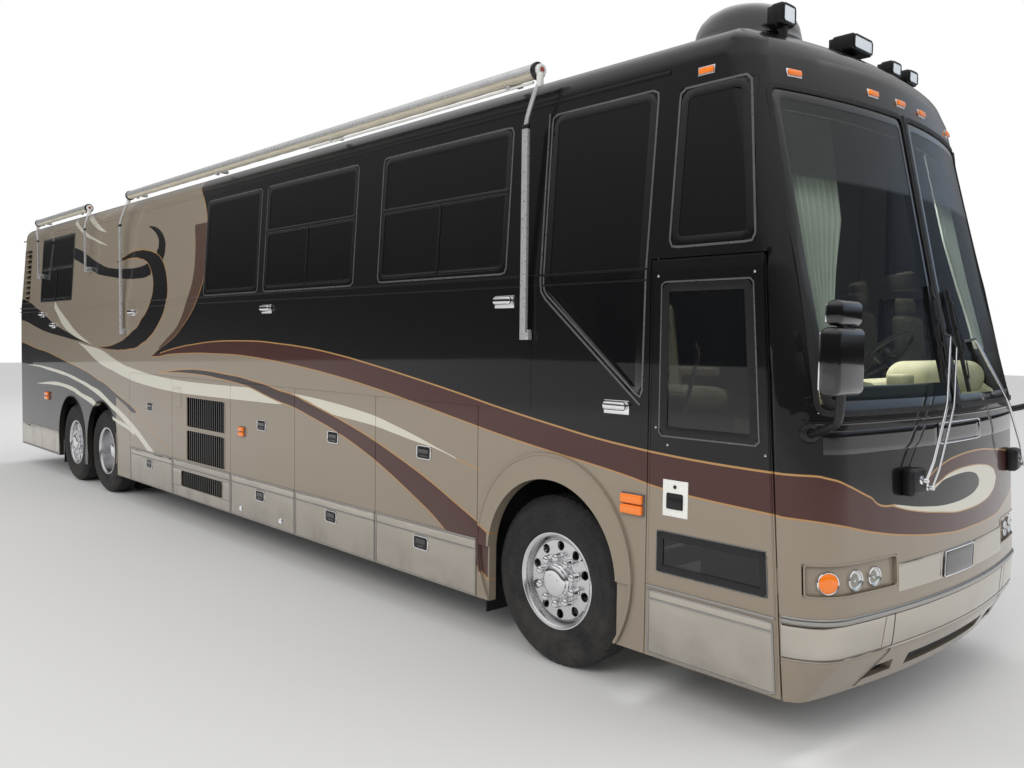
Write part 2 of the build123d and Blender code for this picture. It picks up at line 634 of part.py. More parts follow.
def rim(centre, side, kind):
    """A pressed wheel with its disc, hand holes and hub, bored for the axle's stub."""
    edge, bend, hub_r, hub_out, hub_in = DISCS[kind]
    flat = bend[1]
    bore = STUB_R + RUN
    disc = [edge, bend]
    if hub_out > flat:
        disc += [(hub_r, flat), (hub_r, hub_out - 12), (hub_r - 12, hub_out)]
    if kind == "inner":
        disc += [(bore, hub_out), (bore, hub_in)]
    else:
        disc += [(0, hub_out), (0, STUB_END + RUN), (bore, STUB_END + RUN), (bore, hub_in)]
    if hub_in < flat - DISC_THICK:
        disc += [(hub_r, hub_in), (hub_r, flat - DISC_THICK)]
    disc += [(r, w - DISC_THICK) for r, w in (bend, edge)]
    wheel = turned(BARREL, centre, side) + turned(disc, centre, side)
    x, y, z = centre
    if kind != "inner":
        for i in range(HOLES):
            turn = 2 * math.pi * i / HOLES
            hx, hz = x + HOLE_PITCH_R * math.cos(turn), z + HOLE_PITCH_R * math.sin(turn)
            wheel -= rod((hx, y + side * (flat + 60), hz), (hx, y + side * (flat - 60), hz), HOLE_R)
    return wheel


WHEELS = [
    # axle, kind of disc, has an inner twin
    ("front", "steer", False),
    ("drive", "drive", True),
    ("tag", "steer", False),
]
for axle, kind, twin in WHEELS:
    for side, hand in ((-1, "right"), (1, "left")):
        centre = (AXLE_X[axle], side * RIM_PLANE, TYRE_R)
        rubber, metal = tyre(centre, side), rim(centre, side, kind)
        if twin:
            # the inner wheel's disc seats on the back of the outer one's
            inner = (centre[0], side * (RIM_PLANE - TWIN_STEP), centre[2])
            rubber = rubber + tyre(inner, side)
            metal = metal + rim(inner, side, "inner")
        parts[f"tyre_{axle}_{hand}"] = rubber
        parts[f"rim_{axle}_{hand}"] = metal

# Axles. Front: a beam with kingpin eyes. Rear: a driven axle with its gear case and shaft, and a tag tube
EYE_R = 45
EYE_Z = (430, 622)
BEAM_Z = (435, 535)
BEAM_HALF = 50
BELLOWS_R = 110
AXLE_TUBE_R = 65
# radius and offset round the gear case
GEAR_CASE = [(0, -150), (130, -150), (185, -60), (185, 60), (130, 150), (0, 150)]
SHAFT_R = 45
SHAFT_Z = (650, 700)
ENGINE = (-6480, -5100, 560, 1420)   # rear, front, low, top
HUB_GAP = 5
STUB_Y = RIM_PLANE + STUB_END
SINGLE_HUB_Y = RIM_PLANE + HUB_BACK
TWIN_HUB_Y = RIM_PLANE - TWIN_STEP + DISCS["inner"][4]


def bellows(x, side, low):
    return rod((x, side * RAIL_Y, low), (x, side * RAIL_Y, RAIL_LOW_Z - FIT), BELLOWS_R)


x = AXLE_X["front"]
front_axle = block(x - BEAM_HALF, x + BEAM_HALF, 20 - KINGPIN_Y, KINGPIN_Y - 20, *BEAM_Z)
for side in (-1, 1):
    y = side * KINGPIN_Y
    front_axle += rod((x, y, EYE_Z[0]), (x, y, EYE_Z[1]), EYE_R) + bellows(x, side, BEAM_Z[1] - 5)
    front_axle -= rod((x, y, EYE_Z[0] - 1), (x, y, EYE_Z[1] + 1), KINGPIN_R + RUN)

x = AXLE_X["drive"]
drive_axle = rod((x, HUB_GAP - TWIN_HUB_Y, TYRE_R), (x, TWIN_HUB_Y - HUB_GAP, TYRE_R), AXLE_TUBE_R)
drive_axle += rod((x, -STUB_Y, TYRE_R), (x, STUB_Y, TYRE_R), STUB_R)
drive_axle += turned(GEAR_CASE, (x, 0, TYRE_R + 20), 1)
shaft_slope = (SHAFT_Z[1] - SHAFT_Z[0]) / (x - 100 - ENGINE[1])
shaft_end = ENGINE[1] + FIT + SHAFT_R * shaft_slope
drive_axle += rod((x - 100, 0, SHAFT_Z[0]), (shaft_end, 0, SHAFT_Z[1]), SHAFT_R)
x = AXLE_X["tag"]
tag_axle = rod((x, 2 * HUB_GAP - SINGLE_HUB_Y, TYRE_R), (x, SINGLE_HUB_Y - 2 * HUB_GAP, TYRE_R), 60)
tag_axle += rod((x, -STUB_Y, TYRE_R), (x, STUB_Y, TYRE_R), STUB_R)
for side in (-1, 1):
    drive_axle += bellows(AXLE_X["drive"], side, TYRE_R + 30)
    tag_axle += bellows(AXLE_X["tag"], side, TYRE_R + 30)
parts["axles"] = front_axle + drive_axle + tag_axle

# Steering knuckles: a fork round the beam's eye, its kingpin, the wheel stub and the steering arm
FORK_GAP = 5
FORK_PLATE = 40
FORK_HALF = 45
FORK_OUT_Y = 1000
ARM_X = -220         # ball pins behind the kingpins
BALL_R = 12
BALL_Z = (330, 390)
TIE_EYE_R = 30
TIE_EYE_Z = (335, 378)
TIE_Z = 356
TIE_R = 18
fork_low = (EYE_Z[0] - FORK_GAP - FORK_PLATE, EYE_Z[0] - FORK_GAP)
fork_top = (EYE_Z[1] + FORK_GAP, EYE_Z[1] + FORK_GAP + FORK_PLATE)
x = AXLE_X["front"]
for side, hand in ((-1, "right"), (1, "left")):
    inner_y, web_y, outer_y = KINGPIN_Y - EYE_R, KINGPIN_Y + EYE_R + 6, FORK_OUT_Y
    y0, y1 = sorted((side * inner_y, side * outer_y))
    knuckle = Part()
    for z0, z1 in (fork_low, fork_top):
        knuckle += block(x - FORK_HALF, x + FORK_HALF, y0, y1, z0, z1)
    y0, y1 = sorted((side * web_y, side * outer_y))
    knuckle += block(x - FORK_HALF, x + FORK_HALF, y0, y1, fork_low[0], fork_top[1])
    y = side * KINGPIN_Y
    knuckle += rod((x, y, fork_low[0]), (x, y, fork_top[1]), KINGPIN_R)
    knuckle += rod((x, side * (outer_y - 2), TYRE_R), (x, side * STUB_Y, TYRE_R), STUB_R)
    knuckle += block(x + ARM_X - 30, x - 30, y - 20, y + 20, fork_low[0], fork_low[1] - 5)
    knuckle += rod((x + ARM_X, y, BALL_Z[0]), (x + ARM_X, y, BALL_Z[1]), BALL_R)
    parts[f"knuckle_{hand}"] = knuckle

tie_y = KINGPIN_Y - TIE_EYE_R + 4
tie_rod = rod((x + ARM_X, -tie_y, TIE_Z), (x + ARM_X, tie_y, TIE_Z), TIE_R)
for side in (-1, 1):
    y = side * KINGPIN_Y
    tie_rod += rod((x + ARM_X, y, TIE_EYE_Z[0]), (x + ARM_X, y, TIE_EYE_Z[1]), TIE_EYE_R)
for side in (-1, 1):
    y = side * KINGPIN_Y
    tie_rod -= rod((x + ARM_X, y, TIE_EYE_Z[0] - 1), (x + ARM_X, y, TIE_EYE_Z[1] + 1), BALL_R + RUN)
parts["tie_rod"] = tie_rod

engine_half = RAIL_Y - RAIL_W / 2 - FIT
engine = block(ENGINE[0], ENGINE[1], -engine_half, engine_half, ENGINE[2], ENGINE[3])
parts["engine"] = eased(engine, Axis.X, 60)

# Mud flaps hang behind the front and the tag wheels
FLAP_THICK = 8
FLAP_Y = (975, 1225)
flaps = Part()
for side in (-1, 1):
    y0, y1 = sorted((side * FLAP_Y[0], side * FLAP_Y[1]))
    face = BAY_X[-1] + BULKHEAD / 2 + FIT
    flaps += block(face, face + FLAP_THICK, y0, y1, 180, 760)
    face = REAR_BULKHEAD_X + BULKHEAD / 2 + FIT
    flaps += block(face, face + FLAP_THICK, y0, y1, 180, 1010)
parts["mud_flaps"] = flaps

# Cockpit: dash and cowl, steering wheel on its column, two seats, and the partition behind them
dash = side_prism(
    [(6200, COCKPIT_Z + FIT), (FAR, COCKPIT_Z + FIT), (FAR, 1600), (6560, 1690), (6420, 1790), (6260, 1800),
     (6190, 1740), (6240, 1500)],
    -320,
    1190,
)
dash += side_prism([(6520, COCKPIT_Z + FIT), (FAR, COCKPIT_Z + FIT), (FAR, 1600), (6520, 1640)], -1150, -319)
parts["dash"] = dash & ROOM

SEAT_Y = 620
WHEEL_CENTRE = Vector(6050, SEAT_Y, 1930)
COLUMN_FOOT = Vector(6270, SEAT_Y, 1700)
GRIP_R = 225
GRIP_THICK = 16
wheel_up = (WHEEL_CENTRE - COLUMN_FOOT).normalized()
wheel_plane = Plane(origin=WHEEL_CENTRE, x_dir=(0, 1, 0), z_dir=wheel_up)
steering = Part()
for turn in (90, 210, 330):
    angle = math.radians(turn)
    reach = wheel_plane.from_local_coords((GRIP_R * math.cos(angle), GRIP_R * math.sin(angle), 0))
    steering += rod(tuple(WHEEL_CENTRE), tuple(reach), 11)
steering += rod(tuple(WHEEL_CENTRE - wheel_up * 40), tuple(WHEEL_CENTRE + wheel_up * 20), 60)
steering += rod(tuple(COLUMN_FOOT - wheel_up * 60), tuple(WHEEL_CENTRE), 32)
grip = []
for i in range(8):
    angle = math.pi * (2 * i + 1) / 8
    grip.append((GRIP_R + GRIP_THICK * math.cos(angle), 0, GRIP_THICK * math.sin(angle)))
grip_ring = revolve(make_face(Polyline(grip, close=True)), Axis.Z, 360)
steering += wheel_plane.location * grip_ring
parts["steering_wheel"] = steering - parts["dash"]

SEATS = [(5480, SEAT_Y), (5300, -SEAT_Y)]
cushions, frames = Part(), Part()
for x, y in SEATS:
    seat_z = COCKPIT_Z + 340
    frames += block(x - 190, x + 190, y - 190, y + 190, COCKPIT_Z + FIT, COCKPIT_Z + 60)
    frames += block(x - 110, x + 110, y - 110, y + 110, COCKPIT_Z + 50, seat_z - 30)
    frames += block(x - 220, x + 220, y - 220, y + 220, seat_z - 40, seat_z)
    cushion = side_prism(
        [(x - 250, seat_z + FIT), (x + 250, seat_z + FIT), (x + 270, seat_z + 130), (x - 110, seat_z + 110),
         (x - 190, seat_z + 860), (x - 290, seat_z + 860)],
        y - 255,
        y + 255,
    )
    cushions += cushion
parts["seat_frames"] = frames
parts["seat_cushions"] = cushions

partition = block(2950, 2990, -OUT, OUT, DECK_Z + FIT, TOP) & ROOM
parts["partition"] = partition - block(2900, 3040, -330, 330, DECK_Z - 10, 3440)

# Door mirrors on bent arms from the front corners
mirrors = Part()
for side in (-1, 1):
    elbow, foot = (6800, side * 1430, 1650), (6540, side * 1215, 1570)
    top = (6850, side * 1500, 2190)
    arm = rod(foot, elbow, 20) + rod(elbow, (top[0], top[1], 1800), 20)
    arm += Pos(*elbow) * Sphere(20) + Pos(6565, side * 1235, 1578) * Sphere(48)
    arm -= PROUD
    y0, y1 = sorted((side * 1370, side * 1630))
    large = eased(block(6800, 6900, y0, y1, 1780, 2080), Axis.Y, 18)
    small = eased(block(6815, 6890, y0 + 25, y1 - 25, 2070, 2190), Axis.Y, 18)
    mirrors += arm + large + small
parts["mirrors"] = mirrors


def screen_x(y, z):
    """The outer skin's front at a height and a distance from the centre line."""
    return (Line((5500, y, z), (FAR, y, z)) & OUTER).bounding_box().max.X


def off_screen(y, z, stand):
    return (screen_x(y, z) + stand, y, z)


# Wipers: pivot post, twin arms and a blade
WIPERS = [
    # pivot (y, z), arm end, blade foot, blade head
    ((-550, 1300), (-60, 2040), (-330, 1740), (60, 2330)),
    ((1000, 1300), (360, 2040), (300, 1720), (350, 2330)),
]
wipers = Part()
for pivot, reach, low, top in WIPERS:
    post_x = screen_x(*pivot)
    wiper = rod((post_x - 20, *pivot), (post_x + 85, *pivot), 26) - PROUD
    start, end = off_screen(*pivot, 72), off_screen(*reach, 42)
    wiper += rod(start, end, 9)
    low_pivot = (pivot[0] + 55, pivot[1] - 40)
    wiper += rod(off_screen(*low_pivot, 72), off_screen(reach[0] + 50, reach[1] - 60, 42), 7)
    wiper += rod(start, off_screen(*low_pivot, 72), 14)
    foot, head = off_screen(*low, 14), off_screen(*top, 14)
    wiper += rod(foot, head, 8)
    middle = (Vector(*foot) + Vector(*head)) * 0.5
    wiper += rod(tuple(middle), end, 8) + rod(end, off_screen(reach[0] + 50, reach[1] - 60, 42), 12)
    wipers += wiper
parts["wipers"] = wipers

# Awnings: a roller case on a rail along the roof edge, and its folded arms
AWNINGS = [(-2050, 4750), (-5750, -3520)]
CASE_Y = (-1345, -1255)
CASE_Z = (3610, 3705)
awnings = Part()
for x0, x1 in AWNINGS:
    case = block(x0, x1, CASE_Y[0], CASE_Y[1], *CASE_Z)
    case = eased(case, Axis.X, 24)
    rail = block(x0, x1, CASE_Y[1] - 30, -1130, CASE_Z[0], CASE_Z[0] + 22)
    awnings += case + (rail - PROUD)
parts["awnings"] = awnings

ARMS = [
    # X, foot height
    (4690, 2040),
    (-2300, 2050),
    (-3580, 2850),
    (-5690, 2850),
]
ARM_Y = (-1342, -1306)
arms = Part()
for x, foot in ARMS:
    arm = block(x - 24, x + 24, ARM_Y[0], ARM_Y[1], foot - 40, CASE_Z[0] - FIT)
    arm += block(x - 32, x + 32, ARM_Y[0] + 6, -1180, foot - 30, foot + 30) - PROUD
    arms += arm
parts["awning_arms"] = arms

# Roof fittings: dome, spot lamp on a pedestal and three flood lamps
DOME_CENTRE = (5790, -650, ROOF_Z + 5)
DOME = [
    # radius, height over the dome's foot
    (0, -60), (310, -60), (310, 0), (276, 110), (180, 186), (0, 216),
]
x, y, base_z = DOME_CENTRE
dome_face = make_face(Polyline([(x + r, y, base_z + z) for r, z in DOME], close=True))
parts["roof_dome"] = revolve(dome_face, Axis((x, y, 0), (0, 0, 1)), 360) - PROUD

LAMP_HEADS = [
    # X, Y, half depth, half width, low, top
    (6090, -60, 70, 105, 3705, 3800),
    (6020, 400, 40, 62, 3672, 3752),
    (6020, 640, 40, 62, 3672, 3752),
    (6150, -740, 40, 62, 3680, 3760),
]
roof_lamps = Part()
for x, y, deep, wide, low, top in LAMP_HEADS:
    lamp = block(x - deep, x + deep, y - wide, y + wide, low, top)
    lamp = eased(lamp, Axis.Y, 12)
    foot = rod((x, y, 3560), (x, y, low + 10), 24) - PROUD
    roof_lamps += lamp + foot
parts["roof_lamps"] = roof_lamps

# Marker lamps: five over the windscreen, one pair on each side, and the rear cluster
markers = Part()
for y in (-950, -310, 0, 310, 950):
    z = 3372
    markers += block(screen_x(y, z) - 60, screen_x(y, z) + 22, y - 50, y + 50, z - 18, z + 18) - PROUD
for side in (-1, 1):
    y0, y1 = sorted((side * 1200, side * (HALF_WIDTH + 16)))
    for x in (5549, -5440):
        markers += block(x - 62, x + 62, y0, y1, 1055, 1165) - PROUD
parts["marker_lamps"] = markers
tails = Part()
for side in (-1, 1):
    for z in (980, 1150, 1320):
        tails += rod((-6990, side * 1045, z), (-6900, side * 1045, z), 66) - PROUD
parts["tail_lamps"] = tails & block(-6965, -6800, -OUT, OUT, 800, 1500)

# Each piece is written under its own name
for name, part in parts.items():
    export_step(part, f"parts/{name}.step")
    print(name, "solids", len(part.solids()), "litres", round(part.volume / 1e6, 1))
print("entry door hinge", DOOR_HINGE_LOW, DOOR_HINGE_TOP, "engine door hinge", ENGINE_HINGE)
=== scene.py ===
"""Looks of a three-axle highway coach fitted out as a motorhome.

Metres, with X forward, Y to the driver's side and Z up; the ground is Z 0.
"""
import json
import math

import bmesh
import bpy
import numpy as np
from mathutils import Matrix, Vector

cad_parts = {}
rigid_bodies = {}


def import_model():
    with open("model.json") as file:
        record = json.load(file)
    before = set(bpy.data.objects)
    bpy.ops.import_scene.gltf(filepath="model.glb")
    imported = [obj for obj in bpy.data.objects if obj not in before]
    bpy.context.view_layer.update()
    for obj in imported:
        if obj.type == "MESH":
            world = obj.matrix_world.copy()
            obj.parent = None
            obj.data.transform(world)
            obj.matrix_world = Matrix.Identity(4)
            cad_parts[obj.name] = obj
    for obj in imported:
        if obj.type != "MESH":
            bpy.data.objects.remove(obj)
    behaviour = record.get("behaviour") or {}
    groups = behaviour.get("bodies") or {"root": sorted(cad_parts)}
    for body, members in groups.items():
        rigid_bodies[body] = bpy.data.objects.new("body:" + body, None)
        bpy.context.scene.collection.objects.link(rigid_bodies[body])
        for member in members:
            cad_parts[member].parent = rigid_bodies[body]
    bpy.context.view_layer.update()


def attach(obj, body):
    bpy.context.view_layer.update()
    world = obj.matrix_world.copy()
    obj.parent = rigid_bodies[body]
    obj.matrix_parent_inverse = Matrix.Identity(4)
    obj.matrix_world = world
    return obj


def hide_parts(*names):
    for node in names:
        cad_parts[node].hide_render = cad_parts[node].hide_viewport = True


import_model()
SIDES = ((-1, "right"), (1, "left"))
COACH = "coach"

# Sizes shared with the body
HALF_WIDTH = 1.295
RAIL_HALF = 1.225
BELT_Z = 2.380
RAIL_Z = 3.450
SKIRT_Z = 0.290
TYRE_R = 0.526
RIM_PLANE = 1.235
AXLE_X = {"front": 4.900, "drive": -3.130, "tag": -4.350}
TWIN_STEP = 0.345
BAY_X = [-2.138, -0.872, 0.545, 1.793, 3.027, 4.226]
DOOR_FRONT_X = 6.479
DOOR_RAKE = 0.0686
# Outline of the rounded front: height, foremost X, radius of the front, radius of the corners
FRONT = [
    (0.290, 6.820, 5.600, 0.280),
    (0.680, 6.820, 5.600, 0.280),
    (1.690, 6.754, 6.500, 0.280),
    (2.380, 6.593, 4.800, 0.140),
    (3.450, 6.365, 3.800, 0.190),
    (3.550, 6.318, 3.800, 0.260),
    (3.612, 6.240, 3.800, 0.320),
]
BUMPER = [
    (0.285, 6.708, 5.600, 0.110),
    (0.470, 6.803, 5.600, 0.240),
    (0.690, 6.820, 5.600, 0.280),
]


# Shapes. A shape is a pair: an array of points and an array of quads
def net(points, wrap_u=False, wrap_v=False):
    """Quads between neighbours of an (n, m, 3) net of points; a wrapped direction closes on itself."""
    n, m = points.shape[:2]
    index = np.arange(n * m).reshape(n, m)
    if wrap_u:
        index = np.vstack([index, index[:1]])
    if wrap_v:
        index = np.hstack([index, index[:, :1]])
    corners = (index[:-1, :-1], index[1:, :-1], index[1:, 1:], index[:-1, 1:])
    return points.reshape(-1, 3), np.stack(corners, -1).reshape(-1, 4)


def joined(*shapes):
    """Several shapes as one: points one after the other, quads counted on."""
    starts = np.cumsum([0] + [len(points) for points, quads in shapes[:-1]])
    quads = [quads + start for (points, quads), start in zip(shapes, starts)]
    return np.vstack([points for points, _ in shapes]), np.vstack(quads)


def capped(rows):
    """A net of rings with each end drawn to its middle: one more row of equal points before and after."""
    first, last = rows[:1].mean(1, keepdims=True), rows[-1:].mean(1, keepdims=True)
    ones = np.ones((1, rows.shape[1], 1))
    return np.vstack([first * ones, rows, last * ones])


def softened(points, reach, steps=4, closed=True):
    """Rounds a polyline: corner c becomes (1-t)^2 a + 2t(1-t) c + t^2 b, a and b a reach before and after."""
    p = np.asarray(points, float)
    before, after = np.roll(p, 1, 0) - p, np.roll(p, -1, 0) - p

    def pulled(run):
        length = np.linalg.norm(run, axis=1, keepdims=True)
        return p + run * np.minimum(reach / np.maximum(length, 1e-9), 0.45)

    a, b = pulled(before)[:, None], pulled(after)[:, None]
    t = np.linspace(0, 1, steps + 1)[None, :, None]
    curve = (1 - t) ** 2 * a + 2 * t * (1 - t) * p[:, None] + t ** 2 * b
    if closed:
        return curve.reshape(-1, p.shape[1])
    return np.vstack([p[:1], curve[1:-1].reshape(-1, p.shape[1]), p[-1:]])


def spread(points, count, closed=False):
    """The polyline's points again, count of them, evenly spaced along it."""
    p = np.asarray(points, float)
    if closed:
        p = np.vstack([p, p[:1]])
    run = np.r_[0, np.cumsum(np.linalg.norm(np.diff(p, axis=0), axis=1))]
    at = np.linspace(0, run[-1], count + 1 if closed else count)
    even = np.stack([np.interp(at, run, p[:, k]) for k in range(p.shape[1])], 1)
    return even[:-1] if closed else even


def unit(v):
    """v / |v|, row by row."""
    return v / np.maximum(np.linalg.norm(v, axis=-1, keepdims=True), 1e-12)


def lathe(profile, centre, side=1, turns=96, axis=(0, 1, 0)):
    """Carries (radius, offset) corners round an axis: centre + side offset axis + radius (cos a, sin a)."""
    profile = np.asarray(profile, float)
    axis = unit(np.array(axis, float))
    first = unit(np.cross(axis, (0, 0, 1) if abs(axis[2]) < 0.9 else (1, 0, 0)))
    second = np.cross(axis, first)
    a = np.linspace(0, 2 * math.pi, turns, endpoint=False)[None, :, None]
    ring = np.cos(a) * first + np.sin(a) * second
    radius, offset = profile[:, 0, None, None], profile[:, 1, None, None]
    points = np.array(centre, float) + offset * side * axis + radius * ring
    return net(points, wrap_v=True)


def swept(profile, path, up, closed=False):
    """Carries a closed (across, out) profile along a path: path + across side + out up, both square to it."""
    profile, path = np.asarray(profile, float), np.asarray(path, float)
    run = np.roll(path, -1, 0) - np.roll(path, 1, 0)
    if not closed:
        run[0], run[-1] = path[1] - path[0], path[-1] - path[-2]
    run = unit(run)
    up = np.broadcast_to(np.asarray(up, float), path.shape)
    side = unit(np.cross(run, up))
    up = np.cross(side, run)
    points = path[:, None] + profile[None, :, :1] * side[:, None] + profile[None, :, 1:] * up[:, None]
    return net(points if closed else capped(points), wrap_u=closed, wrap_v=True)


def round_profile(width, height, sides=12):
    """An ellipse of that width and height, as a profile."""
    a = np.linspace(0, 2 * math.pi, sides, endpoint=False)
    return np.stack([np.cos(a) * width / 2, np.sin(a) * height / 2], 1)


def bar_profile(width, height, ease=0.3, steps=3):
    """A rectangle with round corners that stands on out = 0."""
    w = width / 2
    corners = [(-w, 0), (w, 0), (w, height), (-w, height)]
    return softened(corners, ease * min(width, height), steps)


def tube(path, radius, sides=12):
    """A round tube along a polyline in space."""
    path = np.asarray(path, float)
    lie = path[-1] - path[0]
    up = np.cross(lie, (0.31, 0.17, 0.94) if abs(lie[2]) < 0.9 * np.linalg.norm(lie) else (1, 0.1, 0))
    return swept(round_profile(2 * radius, 2 * radius, sides), path, up)


def rounded_box(low, high, radius, steps=3):
    """A unit sphere's points pulled apart: centre + sign (half - radius) + radius direction, by octants."""
    low, high = np.array(low, float), np.array(high, float)
    centre, half = (low + high) / 2, (high - low) / 2
    radius = min(radius, half.min())
    q = np.linspace(0, math.pi / 2, steps + 1)
    lat = np.r_[q - math.pi / 2, q][:, None]
    up = np.r_[-np.ones(steps + 1), np.ones(steps + 1)][:, None]
    lon = np.concatenate([q + k * math.pi / 2 for k in range(4)])[None]
    sx = np.repeat([1, -1, -1, 1], steps + 1)[None]
    sy = np.repeat([1, 1, -1, -1], steps + 1)[None]
    level = np.cos(lat)
    direction = np.stack(np.broadcast_arrays(level * np.cos(lon), level * np.sin(lon), np.sin(lat)), -1)
    sign = np.stack(np.broadcast_arrays(sx, sy, up), -1)
    return net(capped(centre + sign * (half - radius) + radius * direction), wrap_v=True)


def set_at(shape, centres, normals):
    """Copies a shape that stands on Z = 0 to each centre, its Z turned to the normal there."""
    points, quads = shape
    centres = np.atleast_2d(np.asarray(centres, float))
    up = unit(np.broadcast_to(np.asarray(normals, float), centres.shape))
    lean = np.where(np.abs(up[:, 2:]) < 0.9, (0.0, 0.0, 1.0), (1.0, 0.0, 0.0))
    first = unit(np.cross(lean, up))
    turn = np.stack([first, np.cross(up, first), up], 1)
    placed = centres[:, None] + np.einsum("kj,nji->nki", points, turn)
    step = np.arange(len(centres))[:, None, None] * len(points)
    return placed.reshape(-1, 3), (quads[None] + step).reshape(-1, 4)


def stud(profile, turns=32):
    """A (radius, height) profile turned about Z, to be set on a skin."""
    return lathe(profile, (0, 0, 0), 1, turns, (0, 0, 1))


def pad(half_u, half_v, low, high, radius, steps=3):
    """A rounded box about Z, between two heights, to be set on a skin."""
    return rounded_box((-half_u, -half_v, low), (half_u, half_v, high), radius, steps)


def block(x, half, across, up, radius, steps=3):
    """A rounded box that reaches half to each side of an X, between two Ys and two Zs."""
    return rounded_box((x - half, across[0], up[0]), (x + half, across[1], up[1]), radius, steps)


def button(radius, height, sides=12):
    """A low round stud: a lathe profile that falls from its crown to its rim."""
    profile = [(0, height), (0.5 * radius, 0.94 * height), (0.86 * radius, 0.62 * height), (radius, 0)]
    return stud(profile, sides)


# Skins: where the outside of the body lies, and a point lifted off it
def side_half(z):
    """Half the body's width at a height: upright to the belt, then leaning in evenly."""
    return np.interp(z, (BELT_Z, RAIL_Z), (HALF_WIDTH, RAIL_HALF))


def side_skin(side):
    """The skin of one side over (x, z)."""
    def skin(x, z, lift=0.0):
        """(x, +-(half width + lift), z)"""
        x, z, lift = np.broadcast_arrays(x, z, lift)
        return np.stack([x, side * (side_half(z) + lift), z], -1)
    return skin


def level_front(level, y):
    """X of one level's outline at y: a wide arc about the centre line that runs into the corner's arc."""
    _, front, wide, corner = level
    edge = HALF_WIDTH - corner if level[0] <= BELT_Z else RAIL_HALF - corner
    centre = front - wide
    corner_x = centre + math.sqrt((wide - corner) ** 2 - edge ** 2)
    meet = wide * edge / (wide - corner)
    y = np.abs(y)
    arc = centre + np.sqrt(np.maximum(wide ** 2 - y ** 2, 0))
    bend = corner_x + np.sqrt(np.maximum(corner ** 2 - (y - edge) ** 2, 0))
    return np.where(y < meet, arc, bend)


def front_skin(levels=FRONT):
    """The skin of the front over (y, z), from its levels."""
    def skin(y, z, lift=0.0):
        """(x + lift, y, z), x read between the two nearest levels."""
        y, z, lift = np.broadcast_arrays(y, z, lift)
        rows = np.stack([level_front(level, y) for level in levels])
        heights = np.array([level[0] for level in levels])
        k = np.clip(np.searchsorted(heights, z) - 1, 0, len(levels) - 2)
        share = np.clip((z - heights[k]) / (heights[k + 1] - heights[k]), 0, 1)
        below = np.take_along_axis(rows, k[None], 0)[0]
        above = np.take_along_axis(rows, k[None] + 1, 0)[0]
        return np.stack([below * (1 - share) + above * share + lift, y, z], -1)
    return skin


def rear_skin(y, z, lift=0.0):
    """(x - lift, y, z) on the flat of the rear."""
    y, z, lift = np.broadcast_arrays(y, z, lift)
    x = np.interp(z, (0.68, 1.69, 2.38, 3.45), (-6.950, -6.945, -6.920, -6.830))
    return np.stack([x - lift, y, z], -1)


RIGHT, LEFT, NOSE, CHIN = side_skin(-1), side_skin(1), front_skin(), front_skin(BUMPER)
SKINS = {-1: RIGHT, 1: LEFT}


def raised(skin, corners, height, bevel=0.003, steps=(12, 4), sink=0.001):
    """A plate on a skin: bilinear between four (u, v) corners, lifted inside a bevel and sunk at its rim."""
    c = np.array(corners, float)
    wide = np.linalg.norm(c[1] - c[0])
    tall = np.linalg.norm(c[3] - c[0])

    def line(length, count):
        b = min(bevel / length, 0.3)
        at = np.r_[0, 0, b * 0.4, b, np.linspace(b, 1 - b, count + 1)[1:-1], 1 - b, 1 - b * 0.4, 1, 1]
        rise = np.r_[0, 0.5, 0.87, 1, np.ones(count - 1), 1, 0.87, 0.5, 0]
        return at, rise

    s, up_s = line(wide, steps[0])
    t, up_t = line(tall, steps[1])
    s, t = s[:, None, None], t[None, :, None]
    flat = (1 - s) * (1 - t) * c[0] + s * (1 - t) * c[1] + s * t * c[2] + (1 - s) * t * c[3]
    lift = np.minimum(up_s[:, None], up_t[None]) * (height + sink) - sink
    return net(skin(flat[..., 0], flat[..., 1], lift))


def facing(skin, u, v):
    """Unit normal of a skin: its two slopes crossed, turned the way a lift moves."""
    step = 1e-4
    a = skin(u + step, v) - skin(u - step, v)
    b = skin(u, v + step) - skin(u, v - step)
    normal = unit(np.cross(a, b))
    lifted = skin(u, v, step) - skin(u, v, 0.0)
    return normal * np.sign((normal * lifted).sum(-1, keepdims=True))


def laid(skin, u, v, profile, lift=0.0, closed=False):
    """A profile carried along (u, v) points of a skin, square to the skin all the way."""
    return swept(profile, skin(u, v, lift), facing(skin, u, v), closed)


def moulding(skin, corners, width, height, reach=0.03, closed=True, every=0.06, lift=0.0, ease=0.3):
    """A bar swept along an outline that lies on a skin, its corners softened and its points spread evenly."""
    flat = softened(corners, reach, 5, closed)
    ends = np.vstack([flat, flat[:1]]) if closed else flat
    length = np.linalg.norm(np.diff(ends, axis=0), axis=1).sum()
    flat = spread(flat, max(8, int(length / every)), closed)
    return laid(skin, flat[:, 0], flat[:, 1], bar_profile(width, height, ease), lift, closed)


def on_skin(shape, skin, places, lift=0.0):
    """Copies a shape to (u, v) places on a skin, standing square to it."""
    u, v = np.array(places, float).T
    return set_at(shape, skin(u, v, lift), facing(skin, u, v))


def set_back(skin, depth):
    """The same skin, moved inwards by a depth."""
    def moved(u, v, lift=0.0):
        return skin(u, v, np.asarray(lift) - depth)
    return moved


def rectangle(u0, u1, v0, v1):
    """Its four corners, anticlockwise from the low ones."""
    return [(u0, v0), (u1, v0), (u1, v1), (u0, v1)]


